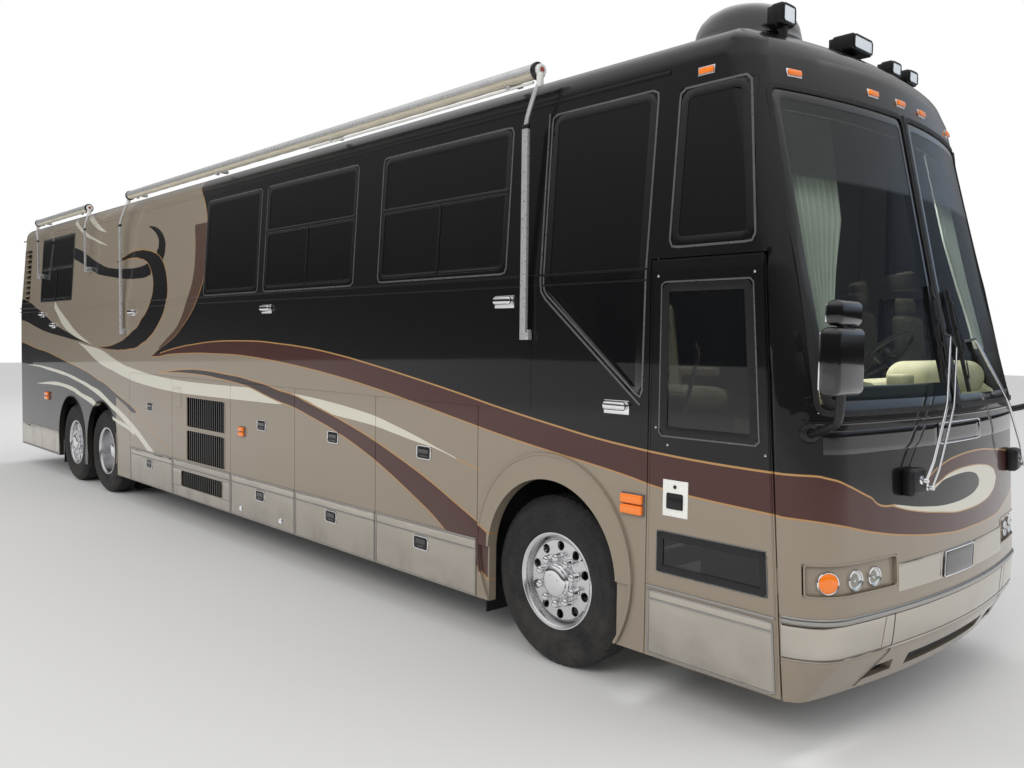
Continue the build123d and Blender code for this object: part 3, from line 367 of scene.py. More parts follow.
def piece(name, shape, material, body, slot=None, replaces=(), smooth=35):
    """A mesh of a shape or a list of shapes, welded and with its faces outwards, that rides on a body."""
    points, quads = joined(*shape) if isinstance(shape, list) else shape
    mesh = bpy.data.meshes.new(name)
    mesh.vertices.add(len(points))
    mesh.vertices.foreach_set("co", np.ascontiguousarray(points, np.float32).ravel())
    mesh.loops.add(quads.size)
    mesh.loops.foreach_set("vertex_index", quads.astype(np.int32).ravel())
    mesh.polygons.add(len(quads))
    mesh.polygons.foreach_set("loop_start", np.arange(0, quads.size, 4, dtype=np.int32))
    mesh.update(calc_edges=True)
    work = bmesh.new()
    work.from_mesh(mesh)
    bmesh.ops.remove_doubles(work, verts=work.verts, dist=1e-6)
    bmesh.ops.dissolve_degenerate(work, edges=work.edges, dist=1e-7)
    bmesh.ops.recalc_face_normals(work, faces=work.faces)
    work.to_mesh(mesh)
    work.free()
    mesh.polygons.foreach_set("use_smooth", np.ones(len(mesh.polygons), bool))
    mesh.set_sharp_from_angle(angle=math.radians(smooth))
    mesh.materials.append(material)
    made = bpy.data.objects.new(name, mesh)
    bpy.context.scene.collection.objects.link(made)
    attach(made, body)
    if replaces:
        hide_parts(*replaces)
    return made


# Looks
class Look:
    """The nodes of one material, or of a world that is handed in."""

    def __init__(self, name, owner=None):
        self.owner = owner or bpy.data.materials.new(name)
        self.owner.use_nodes = True
        self.tree = self.owner.node_tree
        self.tree.nodes.clear()
        self.seen = None

    def node(self, kind, settings=(), **inputs):
        """A node with its settings; an input is named, with _ for a space, or numbered as in i0."""
        made = self.tree.nodes.new("ShaderNode" + kind)
        for key, value in dict(settings).items():
            setattr(made, key, value)
        for key, value in inputs.items():
            numbered = key[0] == "i" and key[1:].isdigit()
            self.feed(made.inputs[int(key[1:]) if numbered else key.replace("_", " ")], value)
        return made

    def feed(self, socket, value):
        """Links another node's output to a socket, or sets the socket's own value."""
        if isinstance(value, bpy.types.NodeSocket):
            self.tree.links.new(value, socket)
        elif value is not None:
            socket.default_value = value

    def op(self, operation, *values):
        """The result of one sum."""
        made = self.node("Math", {"operation": operation})
        for socket, value in zip(made.inputs, values):
            self.feed(socket, value)
        return made.outputs[0]

    def spot(self):
        """The point on the object, as a vector."""
        return self.node("TexCoord").outputs["Object"]

    def place(self):
        """X, Y, Z of the point, in metres of the frame."""
        self.seen = self.seen or self.node("SeparateXYZ", i0=self.spot()).outputs
        return self.seen

    def noise(self, scale, detail=3.0, rough=0.5, stretch=(1, 1, 1)):
        """Cloudy noise, 0 to 1, finer as the scale grows."""
        where = self.spot()
        if stretch != (1, 1, 1):
            where = self.node("Mapping", Vector=where, Scale=stretch).outputs[0]
        return self.node("TexNoise", Vector=where, Scale=scale, Detail=detail, Roughness=rough).outputs[0]

    def between(self, value, low, high, to_low=0.0, to_high=1.0):
        """A value carried in proportion from one span to another."""
        return self.node("MapRange", i0=value, i1=low, i2=high, i3=to_low, i4=to_high).outputs[0]

    def mix(self, share, a, b):
        """Colour a, with a share of colour b over it."""
        return self.node("Mix", {"data_type": "RGBA"}, i0=share, i6=a, i7=b).outputs[2]

    def curve(self, value, points):
        """A smooth function through (value, result) points, level beyond its ends."""
        points = sorted(points)
        (v0, v1), results = (points[0][0], points[-1][0]), [p[1] for p in points]
        r0, r1 = min(results) - 0.02, max(results) + 0.02
        made = self.node("FloatCurve", Factor=1.0, Value=self.between(value, v0, v1))
        line = made.mapping.curves[0]
        fixed = [((v - v0) / (v1 - v0), (r - r0) / (r1 - r0)) for v, r in points]
        line.points[0].location, line.points[1].location = fixed[0], fixed[-1]
        for place in fixed[1:-1]:
            line.points.new(*place)
        for point in line.points:
            point.handle_type = "AUTO_CLAMPED"
        made.mapping.update()
        return self.op("MULTIPLY_ADD", made.outputs[0], r1 - r0, r0)

    def both(self, *masks):
        """Where all the masks hold."""
        result = masks[0]
        for mask in masks[1:]:
            result = self.op("MULTIPLY", result, mask)
        return result

    def either(self, *masks):
        """Where any of the masks holds."""
        result = masks[0]
        for mask in masks[1:]:
            result = self.op("MAXIMUM", result, mask)
        return result

    def output(self, shader):
        """Ends the material with a shader."""
        self.node("OutputMaterial", Surface=shader.outputs[0])
        return self.owner

    def surface(self, color, rough=0.4, metal=0.0, bump=None, bump_depth=0.0005, **more):
        """A finished surface, with bumps of a depth in metres."""
        shader = self.node("BsdfPrincipled", Base_Color=color, Roughness=rough, Metallic=metal, **more)
        if bump is not None:
            lump = self.node("Bump", Strength=1.0, Distance=bump_depth, Height=bump)
            self.feed(shader.inputs["Normal"], lump.outputs[0])
        return self.output(shader)


def sight(red, green, blue):
    """A colour given as seen on screen, 0 to 255, as linear light."""
    c = np.array([red, green, blue]) / 255
    c = np.where(c < 0.04045, c / 12.92, ((c + 0.055) / 1.055) ** 2.4)
    return (*[float(v) for v in c], 1.0)


TAN = sight(141, 130, 115)
MAROON = sight(70, 41, 37)
BLACK = sight(16, 15, 17)
CREAM = sight(203, 200, 186)
GOLD = sight(172, 132, 84)
BROWN = sight(84, 64, 54)

# The livery's edges, traced as heights z over x, or as x over heights
BLACK_LOW = [
    (-1.475, 1.775), (-1.25, 1.8025), (-1, 1.84), (-0.75, 1.8725), (-0.5, 1.9), (-0.25, 1.92), (0, 1.94),
    (0.5, 1.96), (1, 1.9625), (1.5, 1.945), (2, 1.915), (2.5, 1.865), (3, 1.7975), (3.5, 1.7225),
    (4, 1.6425), (4.5, 1.5575), (5, 1.4825), (5.25, 1.448), (5.5, 1.422), (5.75, 1.402), (6, 1.389),
    (6.25, 1.382), (6.5, 1.379),
]
MAROON_LOW = [
    (-1.45, 1.765), (-1.25, 1.77), (-1, 1.795), (-0.75, 1.81), (-0.5, 1.82), (0, 1.83), (0.5, 1.83),
    (1, 1.815), (1.5, 1.784), (2, 1.7425), (2.5, 1.69), (3, 1.625), (3.5, 1.5475), (4, 1.465),
    (4.5, 1.386), (5, 1.32), (5.25, 1.29), (5.5, 1.256), (5.75, 1.216), (6, 1.196), (6.25, 1.184),
    (6.5, 1.173),
]
BLACK_REAR = [
    (1.7875, -1.4), (1.8425, -1.25), (1.92, -1.0), (2.0125, -0.75), (2.08, -0.625), (2.15, -0.5),
    (2.24, -0.364), (2.336, -0.25), (2.458, -0.15), (2.594, -0.075), (2.73, -0.036), (2.85, -0.024),
    (3.003, -0.036), (3.155, -0.067), (3.306, -0.12), (3.427, -0.197), (3.51, -0.27),
]
BROWN_REAR = [
    (1.8625, -1.25), (1.975, -1.0), (2.09, -0.75), (2.19, -0.625), (2.3, -0.525), (2.488, -0.394),
    (2.61, -0.34), (2.79, -0.318), (2.97, -0.33), (3.1, -0.36),
]
STROKE_A = [
    [(-4.4, 3.2), (-4, 3.12), (-3.5, 2.973), (-3.24, 2.906), (-3, 2.85), (-2.75, 2.82), (-2.48, 2.8),
     (-2.18, 2.79), (-2, 2.788), (-1.76, 2.8), (-1.5, 2.85)],
    [(-4.4, 3.05), (-4, 2.958), (-3.5, 2.82), (-3.24, 2.767), (-2.76, 2.715), (-2.48, 2.685),
     (-2.18, 2.667), (-2, 2.66), (-1.76, 2.66), (-1.48, 2.69)],
]
RING_OUT = [
    (-2.75, 2.867), (-2.48, 2.927), (-2.24, 2.967), (-2.0, 2.99), (-1.76, 2.985), (-1.5, 2.948),
    (-1.33, 2.906), (-1.18, 2.827), (-1.076, 2.715), (-1.015, 2.594), (-0.99, 2.488), (-1.015, 2.382),
    (-1.09, 2.26), (-1.21, 2.155), (-1.394, 2.033), (-1.606, 1.942), (-1.82, 1.882), (-2.06, 1.842),
    (-2.3, 1.824), (-2.545, 1.818), (-2.75, 1.821), (-3.0, 1.83), (-3.24, 1.855),
]
RING_IN = [
    (-2.6, 2.875), (-2.48, 2.888), (-2.24, 2.906), (-2.0, 2.903), (-1.88, 2.888), (-1.74, 2.867),
    (-1.576, 2.8), (-1.485, 2.715), (-1.43, 2.624), (-1.418, 2.518), (-1.445, 2.427), (-1.515, 2.336),
    (-1.636, 2.245), (-1.79, 2.16), (-2.0, 2.064), (-2.18, 1.997), (-2.36, 1.942), (-2.545, 1.906),
    (-2.757, 1.873), (-3.0, 1.855), (-3.24, 1.856),
]
RING_CENTRE = (-2.0, 2.4)
CRESCENT = [
    [(2.8, -1.2), (2.842, -1.167), (2.906, -1.127), (2.988, -1.12), (3.079, -1.167), (3.155, -1.27),
     (3.215, -1.424), (3.245, -1.62)],
    [(2.8, -1.21), (2.936, -1.364), (2.99, -1.32), (3.048, -1.32), (3.12, -1.38), (3.18, -1.485),
     (3.245, -1.65)],
]
DART = [
    [(-1.25, 1.595), (-1, 1.615), (-0.75, 1.6375), (-0.5, 1.6525), (-0.25, 1.66), (0, 1.6575),
     (0.5, 1.635), (0.75, 1.6225), (1, 1.5975), (1.25, 1.575), (1.5, 1.536), (1.75, 1.51), (2, 1.46),
     (2.5, 1.355), (3, 1.23), (3.25, 1.155), (3.5, 1.075), (3.75, 0.9875), (4, 0.8875), (4.25, 0.7875),
     (4.5, 0.68)],
    [(-1.25, 1.59), (-1, 1.6), (-0.5, 1.61), (0, 1.6025), (0.25, 1.5875), (0.5, 1.5725), (0.75, 1.555),
     (1, 1.5225), (1.25, 1.475), (1.5, 1.4325), (1.75, 1.4), (2, 1.35), (2.5, 1.235), (3, 1.08),
     (3.25, 0.9825), (3.5, 0.875), (3.75, 0.76), (3.875, 0.6875), (4.5, 0.35)],
]
WAVE_1 = [
    [(-5.06, 2.47), (-4.88, 2.373), (-4.7, 2.29), (-4.485, 2.2), (-4.248, 2.094), (-4, 2.009),
     (-3.748, 1.942), (-3.5, 1.885), (-3.44, 1.876)],
    [(-5.29, 2.467), (-5.06, 2.367), (-4.88, 2.25), (-4.7, 2.136), (-4.5, 2.06), (-4.248, 1.994),
     (-4, 1.948), (-3.748, 1.912), (-3.5, 1.882), (-3.44, 1.874)],
]
WAVE_2 = [
    [(-4.015, 1.894), (-3.748, 1.868), (-3.5, 1.849), (-3.25, 1.828), (-3, 1.789), (-2.748, 1.73),
     (-2.5, 1.68), (-2.25, 1.635), (-2, 1.61), (-1.5, 1.565), (-1, 1.5375), (-0.5, 1.525), (0, 1.5225),
     (0.5, 1.525), (1, 1.528), (1.5, 1.525), (2, 1.505), (2.5, 1.47), (2.75, 1.445), (3, 1.415),
     (3.25, 1.3675), (3.5, 1.315), (3.75, 1.255), (4, 1.195), (4.05, 1.18)],
    [(-4.015, 1.89), (-3.748, 1.818), (-3.5, 1.733), (-3.25, 1.66), (-3, 1.606), (-2.748, 1.57),
     (-2.5, 1.53), (-2.25, 1.494), (-2, 1.4645), (-1.5, 1.4275), (-1, 1.405), (-0.5, 1.395), (0, 1.3975),
     (0.5, 1.4), (1, 1.405), (1.5, 1.41), (1.65, 1.44), (1.77, 1.495), (2, 1.47), (2.125, 1.44),
     (2.25, 1.415), (2.425, 1.38), (2.75, 1.3575), (3, 1.3375), (3.25, 1.305), (3.5, 1.27), (3.75, 1.24),
     (4, 1.19), (4.05, 1.178)],
]
BAND = [
    [(-6.85, 2.55), (-6.24, 2.464), (-6, 2.4), (-5.74, 2.342), (-5.485, 2.267), (-5.24, 2.19),
     (-5, 2.13), (-4.7, 2.07), (-4.42, 2.024), (-4.25, 1.99), (-3.6, 1.88)],
    [(-7, 2.24), (-6.5, 2.19), (-6, 2.11), (-5.5, 2.04), (-5, 1.994), (-4.5, 1.955), (-4.25, 1.933),
     (-3.9, 1.91), (-3.6, 1.879)],
]
SKIRT = [
    [(-6.88, 1.888), (-6.5, 1.848), (-6, 1.79), (-5.485, 1.75), (-5, 1.69), (-4.5, 1.624), (-4, 1.564),
     (-3.5, 1.485), (-3.25, 1.433), (-3, 1.394), (-2.748, 1.327), (-2.5, 1.264), (-2.25, 1.206),
     (-1.99, 1.136), (-1.75, 1.045), (-1.5, 0.955), (-1.25, 0.855), (-0.96, 0.752)],
    [(-3, 1.348), (-2.75, 1.282), (-2.5, 1.218), (-2.25, 1.152), (-2, 1.09), (-1.9, 1.1)],
]
WAVE_3 = [
    [(-6.5, 1.533), (-6, 1.54), (-5.485, 1.527), (-5, 1.503), (-4.75, 1.488), (-4.5, 1.464),
     (-4.25, 1.44), (-4, 1.406), (-3.75, 1.376), (-3.5, 1.336), (-3.25, 1.303), (-3, 1.235),
     (-2.748, 1.16), (-2.5, 1.097), (-2.25, 1.024), (-2, 0.94), (-1.75, 0.84), (-1.5, 0.733),
     (-1.385, 0.68)],
    [(-6.5, 1.531), (-5.74, 1.51), (-5.485, 1.49), (-5, 1.46), (-4.75, 1.442), (-4.5, 1.424),
     (-4.25, 1.394), (-4, 1.364), (-3.75, 1.327), (-3.5, 1.282), (-3.25, 1.23), (-3, 1.167),
     (-2.748, 1.09), (-2.5, 1.024), (-2.25, 0.94), (-2, 0.855), (-1.75, 0.758), (-1.61, 0.69),
     (-1.385, 0.6)],
]
WAVE_4 = [
    [(-4.36, 3.6), (-4.15, 3.48), (-3.97, 3.403), (-3.75, 3.32), (-3.5, 3.25), (-3.25, 3.185),
     (-2.97, 3.118)],
    [(-4.55, 3.6), (-4.25, 3.464), (-4, 3.358), (-3.75, 3.273), (-3.5, 3.22), (-3.25, 3.16),
     (-2.97, 3.116)],
]
WAVE_5 = [
    [(-3.82, 3.6), (-3.667, 3.555), (-3.5, 3.485), (-3.25, 3.364), (-3.03, 3.288)],
    [(-4.015, 3.6), (-3.75, 3.51), (-3.5, 3.394), (-3.25, 3.32), (-3.03, 3.286)],
]
WAVE_6 = [
    [(-6, 1.268), (-5.74, 1.285), (-5.485, 1.306), (-5.24, 1.32), (-5, 1.327), (-4.75, 1.32),
     (-4.5, 1.306), (-4.25, 1.285), (-4.09, 1.26), (-3.88, 1.22), (-3.667, 1.197), (-3.5, 1.176),
     (-3.333, 1.13), (-3, 1.07), (-2.67, 0.985), (-2.476, 0.96), (-2.25, 0.93), (-2, 0.855)],
    [(-6, 1.266), (-5.74, 1.267), (-5.24, 1.279), (-5, 1.279), (-4.75, 1.273), (-4.5, 1.255),
     (-4.25, 1.23), (-4.09, 1.2), (-3.88, 1.164), (-3.667, 1.13), (-3.5, 1.1), (-3.333, 1.07), (-3, 1.0),
     (-2.67, 0.95), (-2.476, 0.915), (-2.25, 0.885), (-2, 0.824)],
]
# The front's edges: heights z over y
HOOK_OUT = [
    [(-0.735, 1.204), (-0.6, 1.222), (-0.424, 1.241), (-0.263, 1.276), (-0.083, 1.318), (0.122, 1.329),
     (0.358, 1.318), (0.567, 1.277), (0.643, 1.215)],
    [(-0.735, 1.202), (-0.534, 1.156), (-0.275, 1.12), (0.049, 1.093), (0.337, 1.102), (0.552, 1.144),
     (0.643, 1.215)],
]
HOOK_IN = [
    [(-0.7, 1.26), (-0.5, 1.26), (-0.43, 1.252), (-0.385, 1.244), (-0.174, 1.287), (0.065, 1.3),
     (0.228, 1.283), (0.303, 1.24)],
    [(-0.7, 1.204), (-0.425, 1.166), (-0.143, 1.149), (0.107, 1.16), (0.282, 1.201), (0.303, 1.24)],
]
FRONT_HIGH = [
    (-1.3, 1.379), (-1.25, 1.379), (-1.18, 1.367), (-1.07, 1.327), (-0.91, 1.261), (-0.735, 1.203),
    (-0.6, 1.208), (-0.49, 1.251), (-0.382, 1.306), (-0.214, 1.367), (-0.027, 1.397), (0.241, 1.408),
    (0.659, 1.38), (1.085, 1.348), (1.3, 1.379),
]
FRONT_LOW = [
    (-1.3, 1.173), (-1.25, 1.166), (-1.141, 1.145), (-0.888, 1.087), (-0.578, 1.037), (-0.278, 1.006),
    (0.038, 0.989), (0.536, 0.993), (0.85, 1.04), (1.1, 1.11), (1.3, 1.173),
]
# Where the nose's own edges take over, where the rear panel begins, and the foot of the roof's top
NOSE_X, REAR_X, ROOF_TOP_Z = 6.45, -6.8, 3.60
GRILLE_BARS = [((-0.50, 0.43), (0.69, 1.37)), ((-0.65, 0.38), (0.40, 0.58))]


def polar(points, centre):
    """(turn, distance) of each point about a centre, the turn read backwards so that it only grows."""
    p = np.array(points) - centre
    turn = math.pi - np.unwrap(np.arctan2(p[:, 1], p[:, 0]))
    return list(zip(turn.tolist(), np.hypot(p[:, 0], p[:, 1]).tolist()))


def livery():
    """Whole-body paint in six colours under a clear coat; every edge is a curve in the frame's own metres."""
    look = Look("livery")
    x, y, z = look.place()
    op, both, either, curve = look.op, look.both, look.either, look.curve

    # Masks: 1 where they hold, 0 elsewhere
    def more(value, limit):
        return op("GREATER_THAN", value, limit)

    def less(value, limit):
        return op("LESS_THAN", value, limit)

    def outside(mask):
        return op("SUBTRACT", 1.0, mask)

    def above(points, of=x):
        """Over an edge."""
        return more(z, curve(of, points))

    def span(low, high, of=x):
        """Between two values."""
        return both(more(of, low), less(of, high))

    def inside(pair, of=x):
        """Between an upper edge and a lower one, as far as the upper one reaches."""
        high, low = pair
        return both(span(high[0][0], high[-1][0], of), less(z, curve(of, high)), more(z, curve(of, low)))

    def line(points, wide, of=x, at=z, ends=None):
        """A pinstripe along an edge."""
        off = op("ABSOLUTE", op("SUBTRACT", at, curve(of, points)))
        return both(less(off, wide / 2), span(*(ends or (points[0][0], points[-1][0])), of))

    def painted(color, layers):
        """Each (mask, colour) over the ones before it."""
        for share, shade in layers:
            color = look.mix(share, color, shade)
        return color

    nose, rear = more(x, NOSE_X), less(x, REAR_X)
    ahead, high = more(x, curve(z, BLACK_REAR)), above(BLACK_LOW)
    behind = outside(ahead)
    color = painted(TAN, [(both(above(MAROON_LOW), more(x, -1.45)), MAROON)])
    color = look.mix(outside(high), look.mix(ahead, TAN, color), color)
    wake = both(more(x, curve(z, BROWN_REAR)), behind, span(1.86, 3.15, z))

    # The ring is drawn by its distance from a centre over the turn about it
    dx, dz = op("SUBTRACT", x, RING_CENTRE[0]), op("SUBTRACT", z, RING_CENTRE[1])
    turn = op("SUBTRACT", math.pi, op("ARCTAN2", dz, dx))
    far = op("POWER", op("ADD", op("MULTIPLY", dx, dx), op("MULTIPLY", dz, dz)), 0.5)
    ring_out, ring_in = polar(RING_OUT, RING_CENTRE), polar(RING_IN, RING_CENTRE)
    ring_ends = span(ring_in[0][0], ring_in[-1][0], turn)
    ring = both(less(far, curve(turn, ring_out)), more(far, curve(turn, ring_in)), ring_ends)
    crescent = both(span(2.80, 3.245, z), less(x, curve(z, CRESCENT[0])), more(x, curve(z, CRESCENT[1])))
    dart = both(inside(DART), span(-1.25, 4.34))
    notch = both(more(x, -2.6), less(z, curve(x, SKIRT[1])))
    skirt = both(inside([SKIRT[0], [(-7.0, -1.0), (-1.99, -1.0)]]), span(-7.2, -1.95), outside(notch))
    cream = either(inside(WAVE_1), both(inside(WAVE_2), outside(both(dart, less(x, 1.9)))),
                   inside(WAVE_3), inside(WAVE_4), inside(WAVE_5), inside(WAVE_6))
    edges = [(MAROON_LOW, 0.009), (DART[0], 0.012), (DART[1], 0.010), (SKIRT[0], 0.012)]
    gold = either(line(BLACK_LOW, 0.011, ends=(-1.2, 6.5)), *[line(points, wide) for points, wide in edges],
                  line(BLACK_REAR, 0.012, z, x), both(line(ring_out, 0.010, turn, far), ring_ends),
                  both(line(ring_in, 0.010, turn, far), ring_ends), line([(4.0, 1.19), (4.25, 1.14)], 0.008))
    color = painted(color, [
        (both(high, behind), TAN),
        (both(wake, high), BROWN),
        (both(high, ahead), BLACK),
        (inside(STROKE_A), BLACK),
        (ring, BLACK),
        (crescent, BLACK),
        (dart, look.mix(look.between(x, 0.2, 2.6), BLACK, MAROON)),
        (skirt, BLACK),
        (both(rear, less(z, 1.888)), BLACK),
        (inside(BAND), BLACK),
        (both(rear, span(2.24, 2.55, z)), BLACK),
        (cream, CREAM),
        (gold, GOLD),
    ])
    front_gold = either(line(FRONT_LOW, 0.009, y), line(FRONT_HIGH, 0.010, y, ends=(-1.31, -0.70)),
                        line(FRONT_HIGH, 0.009, y, ends=(-0.52, 1.31)), line(HOOK_OUT[1], 0.006, y),
                        line(HOOK_OUT[0], 0.006, y, ends=(-0.42, 0.643)))
    front = painted(TAN, [
        (above(FRONT_LOW, y), MAROON),
        (above(FRONT_HIGH, y), BLACK),
        (inside(HOOK_OUT, y), CREAM),
        (inside(HOOK_IN, y), BLACK),
        (front_gold, GOLD),
    ])

    # The grilles' bars in bay door 2 are painted near black where they sit back from the face, as painted
    # shade in the recess; road film gathers low down
    bars = either(*[both(span(*along), span(*up, z)) for along, up in GRILLE_BARS])
    recess_shade = less(op("ABSOLUTE", y), 1.2885)
    dust = both(look.between(z, 1.1, 0.25), look.between(look.noise(1.3, 5.0), 0.35, 0.75), 0.35)
    color = painted(color, [
        (nose, front),
        (both(more(z, ROOF_TOP_Z), outside(nose), less(x, -0.27)), TAN),
        # painted shade: the bars' set-back part darkened to near black
        (both(bars, recess_shade), sight(13, 13, 14)),
        (dust, sight(120, 112, 100)),
    ])
    flake = look.between(look.noise(900.0, 1.0), 0.3, 0.7, 0.28, 0.36)
    return look.surface(color, op("ADD", flake, both(dust, 0.4)), 0.04, look.noise(160.0, 2.0), 0.00012,
                        Specular_IOR_Level=0.15, Coat_Weight=0.9, Coat_IOR=1.38,
                        Coat_Roughness=look.between(look.noise(3.0), 0.3, 0.8, 0.02, 0.05))


def shaded(color, by):
    """A colour made lighter or darker by a factor."""
    return tuple(min(1.0, c * by) for c in color[:3]) + (1.0,)


def plain(name, color, rough=0.4, metal=0.0, vary=0.12, scale=14.0, bump=0.0, bump_scale=120.0, **more):
    """One colour that wanders a little in shade and gloss, with a fine grain."""
    look = Look(name)
    tone = look.between(look.noise(scale, 4.0), 0.25, 0.75)
    gloss = look.between(look.noise(scale * 2.3, 3.0), 0.3, 0.7, rough * 0.85, min(1.0, rough * 1.15))
    lump = look.noise(bump_scale, 3.0) if bump else None
    shade = look.mix(tone, shaded(color, 1 - vary), shaded(color, 1 + vary))
    return look.surface(shade, gloss, metal, lump, bump, **more)


def brushed(name, color, rough=0.25, along=(1, 40, 40), scale=60.0, depth=0.00006):
    """Bright metal, drawn out in one direction."""
    look = Look(name)
    grain = look.noise(scale, 3.0, 0.6, along)
    smear = look.noise(1.7, 4.0)
    drawn = look.between(grain, 0.3, 0.7, rough * 0.7, rough * 1.3)
    gloss = look.op("ADD", drawn, look.between(smear, 0.4, 0.8, 0, 0.08))
    tint = look.mix(look.between(smear, 0.3, 0.75), color, shaded(color, 0.9))
    return look.surface(tint, gloss, 1.0, grain, depth)


def sheet_metal(name, color):
    """Bright rolled sheet: slow dents that bend what it mirrors, faint scratches and road spray low down."""
    look = Look(name)
    dents = look.noise(2.6, 2.0, 0.4, (0.8, 0.8, 2.2))
    fine = look.noise(90.0, 2.0, 0.5, (1, 30, 30))
    lump = look.op("ADD", dents, look.op("MULTIPLY", fine, 0.004))
    low_down = look.between(look.place()[2], 0.62, 0.28)
    spray = look.both(low_down, look.between(look.noise(5.0, 6.0), 0.4, 0.75))
    gloss = look.op("ADD", look.between(fine, 0.3, 0.7, 0.04, 0.08), look.op("MULTIPLY", spray, 0.16))
    return look.surface(look.mix(spray, color, shaded(color, 0.72)), gloss, 1.0, lump, 0.012)


def tinted(name, color, through, pass_on=0.55, shine=0.5, band=None):
    """Tinted glass: a share of plain see-through, the rest dark and glossy, darker above the band's height.

    The share falls with the Fresnel mirroring, but only on front faces, so that a back face stays clear.
    """
    look = Look(name)
    if band:
        through = look.between(look.place()[2], band - 0.01, band + 0.01, through, through * 0.45)
    pane = look.node("BsdfPrincipled", Base_Color=color, Roughness=0.02, IOR=1.5, Specular_IOR_Level=shine)
    clear = look.node("BsdfTransparent", Color=(pass_on * 0.97, pass_on, pass_on * 0.98, 1.0))
    mirrored = look.node("Fresnel", IOR=1.5).outputs[0]
    front = look.op("SUBTRACT", 1.0, look.node("NewGeometry").outputs["Backfacing"])
    share = look.op("MULTIPLY", through, look.op("SUBTRACT", 1.0, look.op("MULTIPLY", mirrored, front)))
    return look.output(look.node("MixShader", Fac=share, i1=pane.outputs[0], i2=clear.outputs[0]))


def tread_rubber():
    """Tyre rubber, with dust that gathers towards the road."""
    look = Look("tyre_rubber")
    clouds = look.between(look.noise(9.0, 6.0), 0.35, 0.8)
    dust = look.both(clouds, look.between(look.place()[2], 0.7, 0.0, 0.15, 0.55))
    color = look.mix(dust, sight(27, 27, 29), sight(84, 78, 70))
    gloss = look.between(look.noise(40.0), 0.3, 0.7, 0.58, 0.78)
    return look.surface(color, gloss, 0.0, look.noise(260.0, 4.0), 0.0004)


def lens_of(name, color, glow=0.0):
    """A coloured lens with fine upright ribs."""
    look = Look(name)
    ribs = {"wave_type": "BANDS", "bands_direction": "Y", "wave_profile": "SIN"}
    wave = look.node("TexWave", ribs, Vector=look.spot(), Scale=42.0)
    return look.surface(color, 0.12, 0.0, wave.outputs[1], 0.0006, Coat_Weight=1.0, Coat_Roughness=0.02,
                        Emission_Color=color, Emission_Strength=glow)


def woven(name, color, size=420.0, depth=0.0003, rough=0.85):
    """Woven cloth: two crossed waves for the threads and a slow change of shade."""
    look = Look(name)
    threads = [look.node("TexWave", {"bands_direction": way}, Vector=look.spot(), Scale=size).outputs[1]
               for way in "XZ"]
    shade = look.mix(look.between(look.noise(5.0, 4.0), 0.3, 0.7), color, shaded(color, 0.86))
    return look.surface(shade, rough, 0.0, look.op("MULTIPLY", *threads), depth, Sheen_Weight=0.25)


def hide(name, color):
    """Leather: cells for the pores, a slow wander of shade."""
    look = Look(name)
    cells = look.node("TexVoronoi", {"feature": "DISTANCE_TO_EDGE"}, Vector=look.spot(), Scale=190.0)
    shade = look.mix(look.between(look.noise(7.0, 5.0), 0.3, 0.7), color, shaded(color, 0.84))
    gloss = look.between(look.noise(22.0), 0.3, 0.7, 0.42, 0.58)
    pores = look.op("MINIMUM", cells.outputs[0], 0.25)
    return look.surface(shade, gloss, 0.0, pores, 0.0006, Coat_Weight=0.15, Coat_Roughness=0.4)


PAINT = livery()
STAINLESS = sheet_metal("stainless", (0.54, 0.50, 0.44, 1.0))
POLISHED = brushed("polished_wheel", (0.80, 0.80, 0.81, 1.0), 0.20, (30, 1, 30), 30.0, 0.00003)
SATIN = brushed("satin_lip", (0.42, 0.41, 0.39, 1.0), 0.22)
CHROME = plain("chrome", (0.88, 0.88, 0.90, 1.0), 0.06, 1.0, 0.02)
EDGE_TRIM = plain("edge_trim", sight(112, 112, 114), 0.3, 0.6)
TYRE_LOOK = tread_rubber()
RUBBER = plain("black_rubber", sight(22, 22, 23), 0.55, bump=0.0002)
PLASTIC = plain("black_plastic", sight(20, 20, 22), 0.38, bump=0.00015, bump_scale=300.0)
GLOSS = plain("gloss_black", sight(12, 12, 14), 0.12, Coat_Weight=1.0)
STEEL = plain("chassis_black", sight(34, 33, 32), 0.55, 0.2, 0.25, 8.0, 0.0006, 60.0)
CAST = plain("cast_iron", sight(70, 66, 62), 0.6, 0.5, 0.2, 20.0, 0.001, 90.0)
FLOOR = plain("floor_covering", sight(92, 84, 74), 0.75, bump=0.0004)
DASH = plain("dash_plastic", sight(198, 192, 160), 0.55, bump=0.0003, bump_scale=260.0)
LINING = woven("wall_lining", sight(196, 188, 170))
WHITE = plain("white_shell", sight(226, 226, 222), 0.28, 0.0, 0.05, Coat_Weight=0.5)
CASE = plain("awning_case", sight(198, 199, 200), 0.3, 0.55, 0.06)
CASTING = plain("white_casting", sight(214, 214, 210), 0.35, 0.1)
CORE = plain("cap_core", sight(150, 60, 50), 0.4)
FABRIC = woven("awning_fabric", sight(206, 198, 178))
CURTAIN = woven("curtain_cloth", sight(186, 192, 184))
LEATHER = hide("seat_leather", sight(205, 197, 172))
AMBER = lens_of("amber_lens", sight(235, 120, 16), 0.05)
RED = lens_of("red_lens", sight(150, 12, 12), 0.03)
CLEAR = lens_of("clear_lens", sight(225, 230, 235), 0.02)
DARK_GLASS = tinted("privacy_glass", (0.006, 0.006, 0.007, 1.0), 0.10)
SCREEN_GLASS = tinted("screen_glass", (0.010, 0.012, 0.013, 1.0), 0.96, 0.90, 1.0, 2.835)
DOOR_PANE = tinted("door_pane", (0.008, 0.009, 0.010, 1.0), 0.42, 0.55, 0.9)
LAMP_COVER = tinted("lamp_cover", (0.55, 0.57, 0.6, 1.0), 0.9, 0.95)


